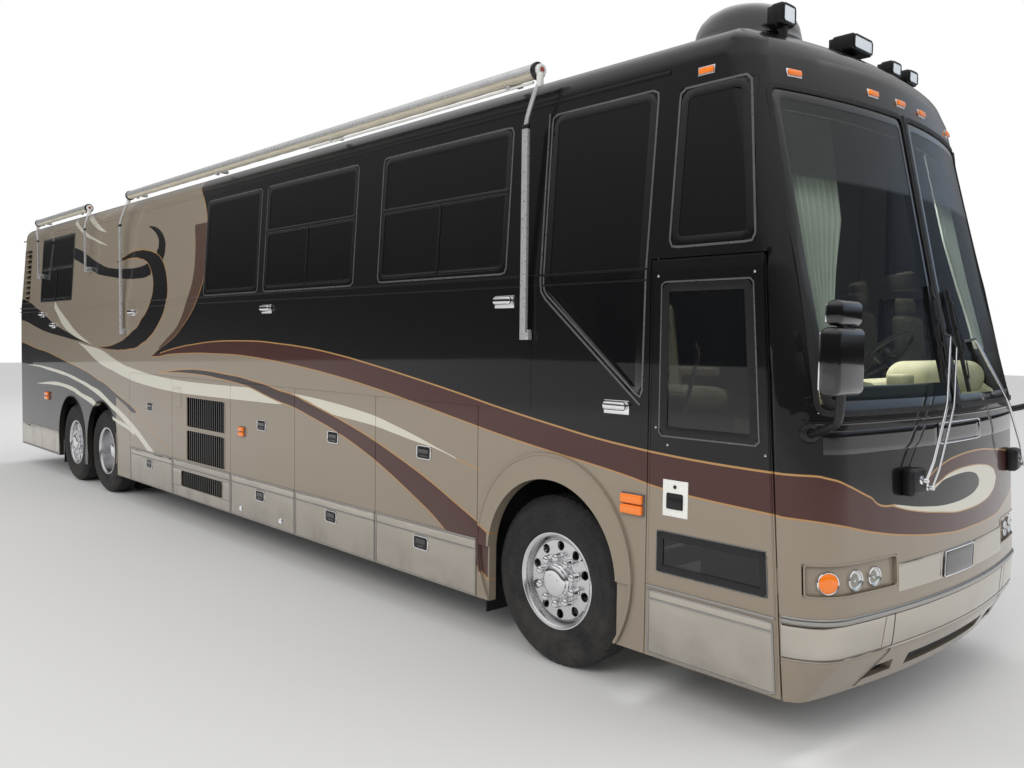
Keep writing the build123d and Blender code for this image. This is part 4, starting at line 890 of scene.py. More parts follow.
def dress(material, *names):
    """Gives the body's own nodes a material."""
    for item in bpy.data.objects:
        if item.name.split(".")[0] in names:
            item.data.materials.clear()
            item.data.materials.append(material)


BAY_DOORS = [f"bay_door_{hand}_{k}" for _, hand in SIDES for k in range(1, 6)]
dress(PAINT, "wall_right", "wall_left", "roof", "front_mask", "rear_cap", "fenders_front", "fenders_rear",
      "entry_door", "engine_door", "front_bumper", "rear_bumper", *BAY_DOORS)
dress(DARK_GLASS, "side_glass")
dress(SCREEN_GLASS, "windscreen")
dress(DOOR_PANE, "entry_door_glass")
dress(FLOOR, "deck", "entry_steps")
dress(STEEL, "bay_frame", "chassis_rails", "axles", "knuckle_right", "knuckle_left", "tie_rod", "seat_frames")
dress(CAST, "engine")
dress(LINING, "partition")
dress(RUBBER, "mud_flaps")
dress(DASH, "dash")
dress(PLASTIC, "steering_wheel")

# Wheels. Radius and offset from the outer flange, outwards, in millimetres
TREAD_R, TREAD_EDGE, TREAD_MIDDLE, NOTCHES = 526, -30, -127.5, 54
GROOVES = [(-72, 13), (-112, 12), (-143, 12), (-183, 13)]
WALL_LINE = [
    (290, -14), (300, -6), (306, 2), (322, 9), (345, 16), (352, 19.5), (358, 17.5), (380, 20), (402, 20.6),
    (404, 19.2), (410, 19.2), (412, 20.4), (440, 19.6), (462, 17.4), (468, 17), (474, 12), (486, 7.5),
    (490, 3), (503, -6), (512, -16), (519, -25), (524, TREAD_EDGE),
]
BARREL_OUT = [(300, -14), (300, -3), (297, 0), (289, 0), (285, -3), (276, -8), (272, -14), (271, -40)]
BARREL_BACK = [
    (271, -243), (283, -248), (297, -255), (300, -253), (300, -240), (286, -230), (286, -25), (300, -14),
]
DISC = {
    "steer": [(271, -78), (262, -66), (250, -52), (243, -46)],
    "drive": [(271, -186), (264, -205), (254, -222), (243, -230)],
}
HUB = {
    "steer": [(178, -46), (160, -45), (158, -43), (122, -43), (119, -40), (116, -30), (104, -22), (92, -18)],
    "drive": [(178, -230), (160, -229), (158, -227), (124, -227), (120, -222), (112, -206), (104, -198)],
}
HUB_COVER = {
    "steer": [(98, -24), (104, -18), (104, -8), (98, -2), (94, 0), (93, 12), (86, 19), (66, 24), (44, 25),
              (42, 27), (20, 28.5), (0.1, 29)],
    "drive": [(104, -198), (104, -100), (98, -84), (84, -76), (80, -66), (60, -61), (30, -60), (0.1, -60)],
}
NUT_FOOT = {"steer": -43, "drive": -227}
TWIN_INNER = [
    (300, -14), (297, 0), (285, -3), (272, -14), (271, -70), (243, 20), (190, 95), (60, 95), (60, 75),
    (185, 75), (240, -5), (271, -95), (271, -243), (297, -255), (300, -243), (286, -230), (286, -25),
]
HOLES, HOLE_PITCH, HOLE_R, PLATE = 10, 212, 27, 20
NUT_PITCH, NUT_TALL = 142.9, 60


def tyre_shape(centre, side):
    """The section turned about the axle, its radius cut back in each notch, every fourth step round."""
    crown = []
    for mid, wide in GROOVES:
        half = wide / 2
        cut = [(TREAD_R, half + 2), (524.5, half), (513, half - 2.5)]
        crown += [(r, mid + off) for r, off in cut] + [(r, mid - off) for r, off in reversed(cut)]
    back = [(r, 2 * TREAD_MIDDLE - w) for r, w in reversed(WALL_LINE)]
    section = np.array(WALL_LINE + crown + back, float)
    steps = 4 * NOTCHES
    a = np.linspace(0, 2 * math.pi, steps, endpoint=False)
    notch = (np.arange(steps) % 4 == 0)[None] * 1.0
    edge = np.exp(-((np.abs(section[:, 1] - TREAD_MIDDLE) - 97) / 9) ** 2) * (section[:, 0] > 500)
    crest = (section[:, 0] > TREAD_R - 1) * 1.0
    radius = section[:, :1] - notch * (7.0 * edge[:, None] + 2.2 * crest[:, None])
    across = np.broadcast_to(side * section[:, 1:], radius.shape)
    points = np.stack([radius * np.cos(a), across, radius * np.sin(a)], -1)
    return net(points / 1000 + np.array(centre), wrap_u=True, wrap_v=True)


def holed_ring(centre, side, low, high, face):
    """A plate with round holes between two radii: a circle is blended out to the border of its own cell."""
    half = math.pi / HOLES * HOLE_PITCH
    f = np.linspace(0, 2 * math.pi, 40, endpoint=False)
    corners = [math.atan2(up * ((high - HOLE_PITCH) if up > 0 else (HOLE_PITCH - low)), along * half)
               for along in (1, -1) for up in (1, -1)]
    for corner in corners:
        corner = corner % (2 * math.pi)
        f[np.argmin(np.abs(f - corner))] = corner
    reach = np.where(np.sin(f) > 0, high - HOLE_PITCH, HOLE_PITCH - low)
    along, up = np.maximum(np.abs(np.cos(f)), 1e-9), np.maximum(np.abs(np.sin(f)), 1e-9)
    border = np.minimum(half / along, reach / up)
    # Rows: share of the border, growth of the hole, drop below the face
    rows = [(1.0, 0, 0.0), (0.5, 0, 0.0), (0.1, 0, 0.0), (0.0, 3.0, 0.0), (0.0, 1.0, -1.2), (0.0, 0, -4.0),
            (0.0, 0, -PLATE), (1.0, 0, -PLATE)]
    shapes = []
    for k in range(HOLES):
        start = 2 * math.pi * (k + 0.5) / HOLES
        cells = []
        for t, grow, drop in rows:
            size = (HOLE_R + grow) * (1 - t) + border * t
            r = HOLE_PITCH + size * np.sin(f)
            turn = start + size * np.cos(f) / HOLE_PITCH
            y = side * (face + drop)
            cells.append(np.stack([r * np.cos(turn), np.full_like(r, y), r * np.sin(turn)], -1))
        shapes.append(net(np.array(cells) / 1000 + np.array(centre), wrap_v=True))
    return joined(*shapes)


def turned(profile, centre, side, turns=120):
    """A millimetre profile turned about an axle."""
    return lathe(np.array(profile, float) / 1000, centre, side, turns)


def nuts(centre, side, foot):
    """Stud nuts with a flange and a rounded cap, on a circle round the hub."""
    sleeve = [(29, 0), (29, 4), (26, 7), (25, 10)]
    cap = [(radius, NUT_TALL - drop) for radius, drop in ((25, 18), (23, 10), (17, 3), (8, 0), (0.1, 0))]
    a = 2 * math.pi * (np.arange(HOLES) + 0.5) / HOLES
    ring = np.stack([NUT_PITCH * np.cos(a), np.full(HOLES, side * foot), NUT_PITCH * np.sin(a)], 1)
    return set_at(stud(np.array(sleeve + cap) / 1000, 24), np.array(centre) + ring / 1000, (0, side, 0))


def rim_shape(centre, side, kind):
    """Barrel, dished disc with ten hand holes and a stepped hub, in polished metal."""
    disc, hub = DISC[kind], HUB[kind]
    face = disc[-1][1]
    outer = turned(BARREL_OUT + disc, centre, side)
    inner = turned(hub + [(60, hub[-1][1])], centre, side)
    rear = [(243, face - PLATE), (262, disc[1][1] - PLATE), (271, disc[0][1] - PLATE)] + BARREL_BACK
    core = turned([(178, face - PLATE), (60, face - PLATE)], centre, side)
    return joined(outer, holed_ring(centre, side, 178, 243, face), inner, turned(rear, centre, side), core)


for axle, kind in (("front", "steer"), ("drive", "drive"), ("tag", "steer")):
    for side, hand in SIDES:
        centre = (AXLE_X[axle], side * RIM_PLANE, TYRE_R)
        body = f"wheel_{axle}_{hand}"
        rubber, metal = tyre_shape(centre, side), rim_shape(centre, side, kind)
        if axle == "drive":
            inner = (centre[0], side * (RIM_PLANE - TWIN_STEP), TYRE_R)
            rubber = joined(rubber, tyre_shape(inner, side))
            metal = joined(metal, turned(TWIN_INNER, inner, side))
        chrome = joined(turned(HUB_COVER[kind], centre, side, 64), nuts(centre, side, NUT_FOOT[kind]))
        stem = tube([(centre[0] + 0.20, centre[1] - side * 0.06, TYRE_R + 0.17),
                     (centre[0] + 0.185, centre[1] - side * 0.03, TYRE_R + 0.155)], 0.005, 8)
        old_tyre, old_rim = (f"tyre_{axle}_{hand}",), (f"rim_{axle}_{hand}",)
        piece(f"tyre_{axle}_{hand}_detail", rubber, TYRE_LOOK, body, "tyre", old_tyre, 28)
        piece(f"rim_{axle}_{hand}_detail", metal, POLISHED, body, "polished_aluminium", old_rim, 32)
        piece(f"hub_{axle}_{hand}_cover", chrome, CHROME, body, "lamp")
        piece(f"valve_{axle}_{hand}", stem, PLASTIC, body)

# Bright lower panels: edges and thickness, the cap over them, the bead on them, and those behind the axles
CLAD_LOW, CLAD_HIGH, CLAD_T = 0.292, 0.668, 0.003
CAP_Z, BEAD_Z, FOOT_Z, CAP = 0.676, 0.606, 0.300, bar_profile(0.014, 0.006)
BEAD = bar_profile(0.012, 0.0075)
REAR_X0, REAR_X1, REAR_CLAD = -6.78, -4.935, (0.322, 0.612)
REAR_PLATES = ((-6.195, -5.735), (-5.725, -5.125), (-5.115, REAR_X1), (REAR_X0, -6.205))
# The grille door's plates leave its low grille free
GRILLE_X, GRILLE_Z = (-0.643, 0.376), (0.400, 0.580)
GRILLES = ((-0.477, 0.417, 1.056, 1.360), (-0.482, 0.413, 0.700, 1.012), (-0.635, 0.368, 0.408, 0.572))
# Latches: bay door and X of each pair; then shift, height, width, height of the dish and lift of one latch
LATCHES = ((0, -1.50), (2, 1.19), (3, 2.42), (4, 3.64))
# A latch's paddle and the catch below it: half width, foot and top as shares, rise, bevel
PADDLES = ((0.36, -0.08, 0.34, 0.009, 0.004), (0.24, -0.34, -0.18, 0.006, 0.003))
LATCH_KINDS = ((0.0, 1.197, 0.158, 0.092, 0.0), (-0.025, 0.545, 0.166, 0.092, 0.003))
for side, hand in SIDES:
    skin = SKINS[side]
    for k in range(5):
        x0, x1 = BAY_X[k] + 0.007, BAY_X[k + 1] - 0.007
        body = f"bay_door_{hand}_{k + 1}"
        if k == 1:
            cuts = ((x0, x1, CLAD_LOW, GRILLE_Z[0]), (x0, x1, GRILLE_Z[1], CLAD_HIGH),
                    (x0, GRILLE_X[0], *GRILLE_Z), (GRILLE_X[1], x1, *GRILLE_Z))
            plates = joined(*[raised(skin, rectangle(*cut), CLAD_T) for cut in cuts])
        else:
            plates = raised(skin, rectangle(x0, x1, CLAD_LOW, CLAD_HIGH), CLAD_T, steps=(16, 6))
        ends, post = np.array([x0, x1]), np.linspace(0.296, CAP_Z, 5)
        frame_bars = [laid(skin, ends, CAP_Z, CAP), laid(skin, ends, FOOT_Z, bar_profile(0.008, 0.0045)),
                      laid(skin, ends, BEAD_Z, BEAD)]
        frame_bars += [laid(skin, x, post, bar_profile(0.013, 0.006)) for x in (x0 + 0.007, x1 - 0.007)]
        piece(f"cladding_{hand}_{k + 1}", plates, STAINLESS, body)
        piece(f"cladding_frame_{hand}_{k + 1}", frame_bars, SATIN, body)
    plates = [raised(skin, rectangle(a, b, *REAR_CLAD), CLAD_T) for a, b in REAR_PLATES]
    plates.append(laid(skin, np.array([REAR_X0, REAR_X1]), 0.622, CAP))
    piece(f"cladding_{hand}_rear", plates, STAINLESS, COACH)

    # Latches: a wide black dish in a bright rim, with a paddle across it, on each baggage door
    for k, x in LATCHES:
        body = f"bay_door_{hand}_{k + 1}"
        dishes, rims, paddles = [], [], []
        for shift, z, wide, tall, lift in LATCH_KINDS:
            at = x + shift
            edges = rectangle(at - wide / 2, at + wide / 2, z - tall / 2, z + tall / 2)
            dishes.append(raised(skin, edges, 0.003 + lift, 0.002))
            rims.append(moulding(skin, edges, 0.009, 0.008 + lift, 0.012, every=0.02))
            for share, low, high, rise, bevel in PADDLES:
                paddle = rectangle(at - wide * share, at + wide * share, z + tall * low, z + tall * high)
                paddles.append(raised(skin, paddle, rise + lift, bevel))
        piece(f"latches_{hand}_{k + 1}", dishes, PLASTIC, body, "trim_plastic")
        piece(f"latch_paddles_{hand}_{k + 1}", paddles, GLOSS, body, "trim_plastic")
        piece(f"latch_rims_{hand}_{k + 1}", rims, CHROME, body, "lamp")
    ring = stud([(0.030, 0), (0.030, 0.005), (0.026, 0.009), (0.022, 0.008), (0.020, 0.004)])
    glass = stud([(0.021, 0.003), (0.015, 0.008), (0.008, 0.010), (0.001, 0.0105)])
    lamp_places = [(0.773, 0.37), (1.546, 0.37)]
    for name, shape, look in (("courtesy_rings", ring, CHROME), ("courtesy_lenses", glass, CLEAR)):
        piece(f"{name}_{hand}", on_skin(shape, skin, lamp_places, 0.003), look, f"bay_door_{hand}_3")

    # Grilles: a frame round each, and behind the bars a flat dark plate that stands in for the shade in the
    # opening, as painted shade
    frames, mesh = [], []
    for x0, x1, z0, z1 in GRILLES:
        edges = rectangle(x0 - 0.008, x1 + 0.008, z0 - 0.008, z1 + 0.008)
        frames.append(moulding(skin, edges, 0.014, 0.004, 0.012))
        edges = rectangle(x0 - 0.01, x1 + 0.01, z0 - 0.01, z1 + 0.01)
        mesh.append(raised(set_back(skin, 0.050), edges, 0.002))
    piece(f"grille_frames_{hand}", joined(*frames[:2]), PAINT, f"bay_door_{hand}_2", "door_paint")
    piece(f"grille_low_frame_{hand}", frames[2], STAINLESS, f"bay_door_{hand}_2")
    piece(f"grille_mesh_{hand}", mesh, STEEL, f"bay_door_{hand}_2")

# Side windows: corners of each opening, bottom left first, and the sides that have it
WINDOWS = {
    "rear": ([(-5.77, 2.47), (-4.30, 2.47), (-4.30, 3.38), (-5.77, 3.38)], (-1, 1)),
    "saloon_rear": ([(-0.06, 2.41), (1.10, 2.41), (1.10, 3.355), (-0.06, 3.355)], (-1, 1)),
    "saloon_mid": ([(1.21, 2.41), (2.70, 2.41), (2.70, 3.355), (1.21, 3.355)], (-1, 1)),
    "saloon_front": ([(3.04, 2.42), (4.48, 2.42), (4.48, 3.35), (3.04, 3.35)], (-1, 1)),
    "cockpit": ([(4.825, 2.30), (5.575, 1.70), (5.60, 1.70), (5.63, 3.36), (4.825, 3.36)], (-1,)),
    "cockpit_left": ([(4.825, 1.90), (5.56, 1.90), (5.59, 3.36), (4.825, 3.36)], (1,)),
    "driver": ([(5.72, 1.72), (6.29, 1.72), (6.25, 2.33), (5.72, 2.33)], (1,)),
    "over_door": ([(5.76, 2.50), (6.28, 2.50), (6.20, 3.33), (5.775, 3.33)], (-1, 1)),
}
# Windows whose lower part slides: its two ends, the foot of its middle bar and of its panes
SLIDERS = ((-5.75, -4.32, 2.50, 2.51), (1.23, 2.68, 2.45, 2.455), (3.06, 4.46, 2.45, 2.455))
SLIDER_TOP = 2.95
# Mouldings along the belt and under the roof: height, ends, width, depth
BELT_LINES = ((2.395, -6.85, 5.64, 0.012, 0.006), (2.335, -6.85, 5.64, 0.010, 0.004),
              (3.436, -6.84, 5.70, 0.020, 0.005))
HOODED_LAMPS = [(5.423, 1.634), (4.477, 2.242), (1.294, 2.252), (-2.02, 2.27), (-5.645, 2.29), (-5.12, 2.13)]
# Side markers: name, X, Z, half width, half height
SIDE_MARKERS = (("front", 5.553, 1.106, 0.083, 0.062), ("rear", -5.440, 1.110, 0.083, 0.062),
                ("bay", 0.806, 1.107, 0.055, 0.050))


def moved_in(points, by):
    """Each corner drawn towards the outline's middle by about the given distance on both axes."""
    p = np.array(points, float)
    return p + np.sign(p.mean(0) - p) * by


def arch(radius, x, z, low, count=64):
    """The part of a circle about (x, z) that stands above a height."""
    a0 = math.asin(max(-1, (low - z) / radius))
    a = np.linspace(math.pi - a0, a0, count)
    return np.stack([x + radius * np.cos(a), z + radius * np.sin(a)], 1)


for side, hand in SIDES:
    skin = SKINS[side]
    seals, frames, panes = [], [], []
    for corners, on in WINDOWS.values():
        if side in on:
            seals.append(moulding(skin, corners, 0.012, 0.003, 0.04, every=0.04))
            inner = moved_in(corners, 0.030)
            frames.append(moulding(skin, inner, 0.046, 0.001, 0.05, every=0.04, lift=-0.001, ease=0.1))
    for x0, x1, bar_foot, foot in SLIDERS:
        mid = (x0 + x1) / 2
        frames.append(laid(skin, np.array([x0, x1]), SLIDER_TOP, bar_profile(0.030, 0.006), -0.003))
        frames.append(laid(skin, mid, np.array([bar_foot, 2.94]), bar_profile(0.022, 0.006), -0.003))
        for a, b in ((x0 + 0.02, mid + 0.004), (mid - 0.004, x1 - 0.02)):
            edges = rectangle(a, b, foot, 2.93)
            panes.append(moulding(skin, edges, 0.016, 0.004, 0.02, every=0.05, lift=-0.003))
    piece(f"window_seals_{hand}", seals, EDGE_TRIM, COACH, "rubber")
    piece(f"window_frames_{hand}", joined(*frames, *panes), GLOSS, COACH, "trim_plastic")
    lines = [laid(skin, np.linspace(low, high, 40), z, bar_profile(wide, tall))
             for z, low, high, wide, tall in BELT_LINES]
    lines.append(laid(skin, 4.72, np.array([1.572, 2.32]), bar_profile(0.006, 0.0012)))
    piece(f"belt_mouldings_{hand}", lines, PAINT, COACH, "body_paint")
    flap = joined(moulding(skin, rectangle(-0.85, -0.62, 1.24, 1.46), 0.006, 0.0015, 0.02),
                  raised(skin, rectangle(-0.845, -0.625, 1.245, 1.455), 0.0015))
    piece(f"service_flap_{hand}", flap, PAINT, f"bay_door_{hand}_2", "door_paint")

    # Wheel arches: a rolled lip round the front flare, a fine bead round the rear ones
    x, z = arch(0.652, AXLE_X["front"], 0.660, 0.30).T
    lip = swept(round_profile(0.020, 0.016, 10), skin(x, z, 0.016), (0, side, 0))
    piece(f"front_arch_lip_{hand}", lip, PAINT, COACH, "door_paint")
    beads = []
    for name in ("drive", "tag"):
        x, z = arch(0.558, AXLE_X[name], 0.612, 0.40).T
        beads.append(swept(round_profile(0.014, 0.012, 10), skin(x, z, 0.002), (0, side, 0)))
    piece(f"rear_arch_beads_{hand}", beads, PAINT, COACH, "door_paint")

    # Hooded lamps and side markers
    hood = joined(pad(0.092, 0.040, -0.002, 0.009, 0.008),
                  rounded_box((-0.082, -0.018, 0.004), (0.082, 0.034, 0.044), 0.020, 6))
    piece(f"hooded_lamps_{hand}", on_skin(hood, skin, HOODED_LAMPS), CHROME, COACH, "lamp")
    y = side * HALF_WIDTH
    for tag, x, z, wide, tall in SIDE_MARKERS:
        body = f"bay_door_{hand}_3" if tag == "bay" else COACH
        base = rounded_box((x - wide, y - 0.006, z - tall), (x + wide, y + 0.006, z + tall), 0.005)
        y0, y1 = sorted((y + side * 0.002, y + side * 0.030))
        lenses = [rounded_box((x - wide + 0.006, y0, low), (x + wide - 0.006, y1, top), 0.010, 4)
                  for low, top in ((z - tall + 0.006, z - 0.003), (z + 0.003, z + tall - 0.006))]
        replaced = ("marker_lamps",) if (tag, hand) == ("front", "right") else ()
        piece(f"side_marker_base_{tag}_{hand}", base, EDGE_TRIM, body, "lamp", replaced)
        piece(f"side_marker_lens_{tag}_{hand}", lenses, AMBER, body, "lens")


def wrap_skin(levels):
    """The front's outline by one run s: to 1 the wide arc, to 2 the corner, to 3 the side behind it."""
    rows = []
    for z, front, wide, corner in levels:
        half = HALF_WIDTH if z <= BELT_Z else RAIL_HALF
        lean = math.asin((half - corner) / (wide - corner))
        rows.append((z, front - wide, wide, corner, half, lean))
    rows = np.array(rows).T

    def skin(s, z, lift=0.0):
        """The point at run s and height z, lifted square to the outline."""
        s, z, lift = np.broadcast_arrays(s, z, lift)
        t = np.abs(s)
        centre, wide, corner, half, lean = [np.interp(z, rows[0], row) for row in rows[1:]]
        a = np.clip(t, 0, 1) * lean + np.clip(t - 1, 0, 1) * (math.pi / 2 - lean)
        mid_x, mid_y = (wide - corner) * np.cos(lean), half - corner
        on_arc = t <= 1
        x = centre + np.where(on_arc, (wide + lift) * np.cos(a), mid_x + (corner + lift) * np.cos(a))
        y = np.where(on_arc, (wide + lift) * np.sin(a), mid_y + (corner + lift) * np.sin(a))
        return np.stack([x - np.clip(t - 2, 0, 1) * 0.35, np.sign(s) * y, z], -1)
    return skin


WRAP, CHIN_WRAP = wrap_skin(FRONT), wrap_skin(BUMPER)


def run_of(y):
    """The run s at which the front's outline has this Y, near the lamps' height."""
    s = np.linspace(-2, 2, 2001)
    return float(np.interp(y, WRAP(s, 0.87)[:, 1], s))


# Bumper: bright band, rounded lip, seams, dark mesh behind the openings
BUMPER_END, BAND_FOOT, BAND_TOP, MESH_DEPTH = 1.92, 0.505, 0.664, 0.052
band = [raised(CHIN_WRAP, rectangle(s0, s1, BAND_FOOT, BAND_TOP), 0.004, steps=(60, 6))
        for s0, s1 in ((-BUMPER_END, -0.745), (-0.735, 0.735), (0.745, BUMPER_END))]
s = np.linspace(-BUMPER_END, BUMPER_END, 160)
path = CHIN_WRAP(s, 0.497, 0.002)
band.append(swept(round_profile(0.012, 0.010, 8), path, facing(CHIN_WRAP, s, 0.497)))
piece("bumper_band", band, STAINLESS, COACH)
s = np.linspace(-1.91, 1.91, 160)
piece("bumper_lip", laid(CHIN_WRAP, s, 0.684, round_profile(0.036, 0.018, 14), 0.001), SATIN, COACH)
seams, meshes = [], [[(-0.50, 0.325), (0.50, 0.325), (0.52, 0.415), (-0.52, 0.415)]]
for side in (-1, 1):
    seam = [(side * 0.725, 0.686), (side * 0.725, 0.50), (side * 0.80, 0.42), (side * 0.89, 0.300)]
    seams.append(moulding(CHIN, seam, 0.007, 0.0012, 0.05, False, 0.02, 0.0035))
    meshes.append([(side * 0.60, 0.33), (side * 0.88, 0.32), (side * 0.80, 0.41), (side * 0.63, 0.412)])
piece("bumper_seams", seams, RUBBER, COACH, "rubber")
meshes = [raised(set_back(CHIN, MESH_DEPTH), corners, 0.003) for corners in meshes]
y = np.linspace(-0.49, 0.49, 24)
louvres = [swept(round_profile(0.010, 0.016, 8), CHIN(y, z, -0.030), (0, 0, 1))
           for z in (0.350, 0.371, 0.392)]
piece("bumper_mesh", joined(*meshes, *louvres), STEEL, COACH)

# Headlamps: a dished panel each side with a ringed amber lamp and two projector lamps
LAMP_Z, LAMP_SINK, PANEL_Z = 0.868, -0.018, (0.806, 0.954)
LAMPS = ((1.183, 0.056), (1.021, 0.052), (0.876, 0.049))
frames, rings, bowls, domes, panels = [], [], [], [], []
for side in (-1, 1):
    a, b = sorted((run_of(side * 0.706), run_of(side * 1.258)))
    panels.append(raised(set_back(WRAP, 0.021), rectangle(a, b, *PANEL_Z), 0.003, 0.004, (40, 6)))
    edges = rectangle(a - 0.002, b + 0.002, 0.804, 0.956)
    frames.append(moulding(WRAP, edges, 0.009, 0.003, 0.02, every=0.02))
    for y, r in LAMPS:
        where = [(run_of(side * y), LAMP_Z)]
        ring = [(r, 0), (r, 0.010), (r - 0.003, 0.014), (r - 0.007, 0.012), (r - 0.008, 0.004)]
        bowl = [(r - 0.008, 0.008), (r - 0.012, 0.003), (r - 0.022, -0.001), (0.010, -0.003), (0.009, 0.004),
                (0.0005, 0.006)]
        dome = [(r - 0.007, 0.010), (r * 0.7, 0.0145), (r * 0.4, 0.0165), (0.0005, 0.017)]
        for profile, into in ((ring, rings), (bowl, bowls), (dome, domes)):
            into.append(on_skin(stud(profile, 40), WRAP, where, LAMP_SINK))
piece("headlamp_panels", panels, PAINT, COACH, "lamp", ("head_lamps",))
piece("headlamp_frames", frames, PAINT, COACH, "lamp")
piece("headlamp_rings", rings, CHROME, COACH, "lamp")
piece("headlamp_bowls", bowls, CHROME, COACH, "lamp")
piece("headlamp_covers", joined(*domes[1:3], *domes[4:6]), LAMP_COVER, COACH, "lens")
piece("indicator_covers", joined(domes[0], domes[3]), AMBER, COACH, "lens")

# Front strip, blank plate and blank badge strip
STRIP_Z = (0.768, 0.912)
plates = [raised(NOSE, rectangle(a, b, *STRIP_Z), height, steps=(16, 4))
          for a, b, height in ((-0.69, -0.275, 0.004), (-0.275, 0.165, 0.003), (0.165, 0.69, 0.004))]
piece("front_strip", plates, STAINLESS, COACH)
plate = [(-0.25, 0.775), (0.13, 0.775), (0.16, 0.905), (-0.22, 0.905)]
proud = set_back(NOSE, -0.004)
piece("blank_plate", raised(proud, plate, 0.006, 0.004), GLOSS, COACH, "trim_plastic")
piece("blank_plate_rim", moulding(proud, plate, 0.008, 0.008, 0.01, every=0.02), CHROME, COACH, "lamp")
badge = raised(NOSE, rectangle(-0.24, 0.31, 1.488, 1.582), 0.005, 0.004, (12, 4))
piece("badge_strip", badge, GLOSS, COACH, "trim_plastic")
rim = moulding(NOSE, rectangle(-0.25, 0.32, 1.48, 1.59), 0.010, 0.008, 0.012, every=0.03)
piece("badge_strip_rim", rim, CHROME, COACH, "lamp")

# Windscreen: rubber gasket, centre strip and a dark printed border; a line and two plates on the cowl below
gaskets, borders, plates = [], [], []
for side in (-1, 1):
    pane = [(side * 0.020, 1.672), (side * 1.215, 1.672), (side * 1.135, 3.290), (side * 0.020, 3.290)]
    inner = [(side * 0.050, 1.705), (side * 1.175, 1.705), (side * 1.105, 3.255), (side * 0.050, 3.255)]
    gaskets.append(moulding(NOSE, pane, 0.030, 0.008, 0.05, every=0.03, lift=-0.001))
    borders.append(moulding(NOSE, inner, 0.052, 0.0015, 0.06, every=0.03, lift=-0.003, ease=0.1))
    ends = sorted((run_of(side * 0.27), run_of(side * 1.20)))
    plates.append(raised(WRAP, rectangle(*ends, 1.478, 1.590), 0.004, 0.004, (30, 4)))
piece("screen_gasket", gaskets, RUBBER, COACH, "rubber")
piece("screen_border", borders, GLOSS, COACH, "trim_plastic")
post = laid(NOSE, np.zeros(30), np.linspace(1.665, 3.30, 30), bar_profile(0.026, 0.010))
piece("screen_post", post, RUBBER, COACH, "rubber")
line = laid(WRAP, np.linspace(-1.55, 1.55, 90), 1.625, bar_profile(0.014, 0.006))
piece("cowl_line", line, GLOSS, COACH, "trim_plastic")
piece("cowl_plates", plates, GLOSS, COACH, "trim_plastic")

# Clearance lamps over the windscreen and at the side of the roof
CLEARANCE_Y = (-0.95, -0.31, 0.0, 0.31, 0.95)
lamps, bases = [], []
for y in CLEARANCE_Y:
    bases.append(on_skin(pad(0.052, 0.022, -0.004, 0.005, 0.004), NOSE, [(y, 3.372)]))
    lamps.append(on_skin(pad(0.045, 0.016, 0.0, 0.018, 0.010), NOSE, [(y, 3.372)]))
for side in (-1, 1):
    lamps.append(on_skin(pad(0.045, 0.016, 0.0, 0.012, 0.008), SKINS[side], [(5.93, 3.40)]))
    bases.append(on_skin(pad(0.052, 0.022, -0.003, 0.004, 0.003), SKINS[side], [(5.93, 3.40)]))
piece("clearance_lamps", lamps, AMBER, COACH, "lens")
piece("clearance_bases", bases, CHROME, COACH, "lamp")


def held_off(run, rise):
    """The nose's points over a (y, z) run, moved forward by a rise."""
    return NOSE(run[:, 0], run[:, 1]) + rise[:, None] * (1, 0, 0)


def straight(start, end, count):
    """Evenly spaced points from start to end."""
    t = np.linspace(0, 1, count)[:, None]
    return start * (1 - t) + end * t


# Wipers: pivot, arm's end, and the blade's low and top ends over (y, z); bowed twin arms, a yoke and a blade
WIPERS = (((-0.56, 1.32), (-0.02, 2.05), (-0.13, 1.80), (-0.07, 2.33)),
          ((1.00, 1.30), (0.36, 2.04), (0.17, 1.74), (0.15, 2.31)))
BLADE = [(-0.004, 0.002), (0.004, 0.002), (0.009, 0.012), (0.007, 0.022), (-0.007, 0.022), (-0.009, 0.012)]
arms, blades, carriers = [], [], []
for wiper in WIPERS:
    pivot, reach, low, top = map(np.array, wiper)
    second, far = pivot + (0.055, -0.040), reach + (0.05, -0.06)
    rise = np.interp(np.linspace(0, 1, 24), (0, 0.12, 0.8, 1), (0.074, 0.080, 0.048, 0.040))
    for start, end, wide in ((pivot, reach, 0.020), (second, far, 0.013)):
        arms.append(swept(bar_profile(wide, 0.010), held_off(straight(start, end, 24), rise), (1, 0, 0)))
    run = straight(low, top, 30)
    blades.append(swept(BLADE, NOSE(run[:, 0], run[:, 1], 0.001), facing(NOSE, run[:, 0], run[:, 1])))
    claws = [low * (1 - share) + top * share for share in (0.14, 0.38, 0.62, 0.86)]
    carriers.append(on_skin(pad(0.012, 0.012, 0.014, 0.030, 0.004), NOSE, claws))
    bow = 0.026 + 0.012 * np.sin(math.pi * np.linspace(0, 1, 30))
    carriers.append(swept(round_profile(0.010, 0.007, 8), held_off(run[4:-4], bow[4:-4]), (1, 0, 0)))
    link = [NOSE(*(low + top) / 2) + (0.040, 0, 0), NOSE(*reach) + (0.044, 0, 0), NOSE(*far) + (0.044, 0, 0)]
    carriers.append(tube(link, 0.008, 10))
    gearbox = rounded_box((-0.075, -0.065, -0.01), (0.075, 0.075, 0.062), 0.025, 5)
    carriers.append(on_skin(gearbox, NOSE, [pivot - (0.01, 0.015)]))
    for spot, r in ((pivot, 0.030), (second, 0.020)):
        spline = [(r, -0.02), (r, 0.050), (r * 0.9, 0.060), (0.013, 0.066), (0.013, 0.086), (0.010, 0.092),
                  (0.001, 0.093)]
        arms.append(lathe(spline, NOSE(*spot), 1, 24, (1, 0, 0)))
piece("wiper_arms", arms, CHROME, COACH, "trim_plastic", ("wipers",))
piece("wiper_carriers", carriers, PLASTIC, COACH, "trim_plastic")
piece("wiper_blades", blades, RUBBER, COACH, "rubber")

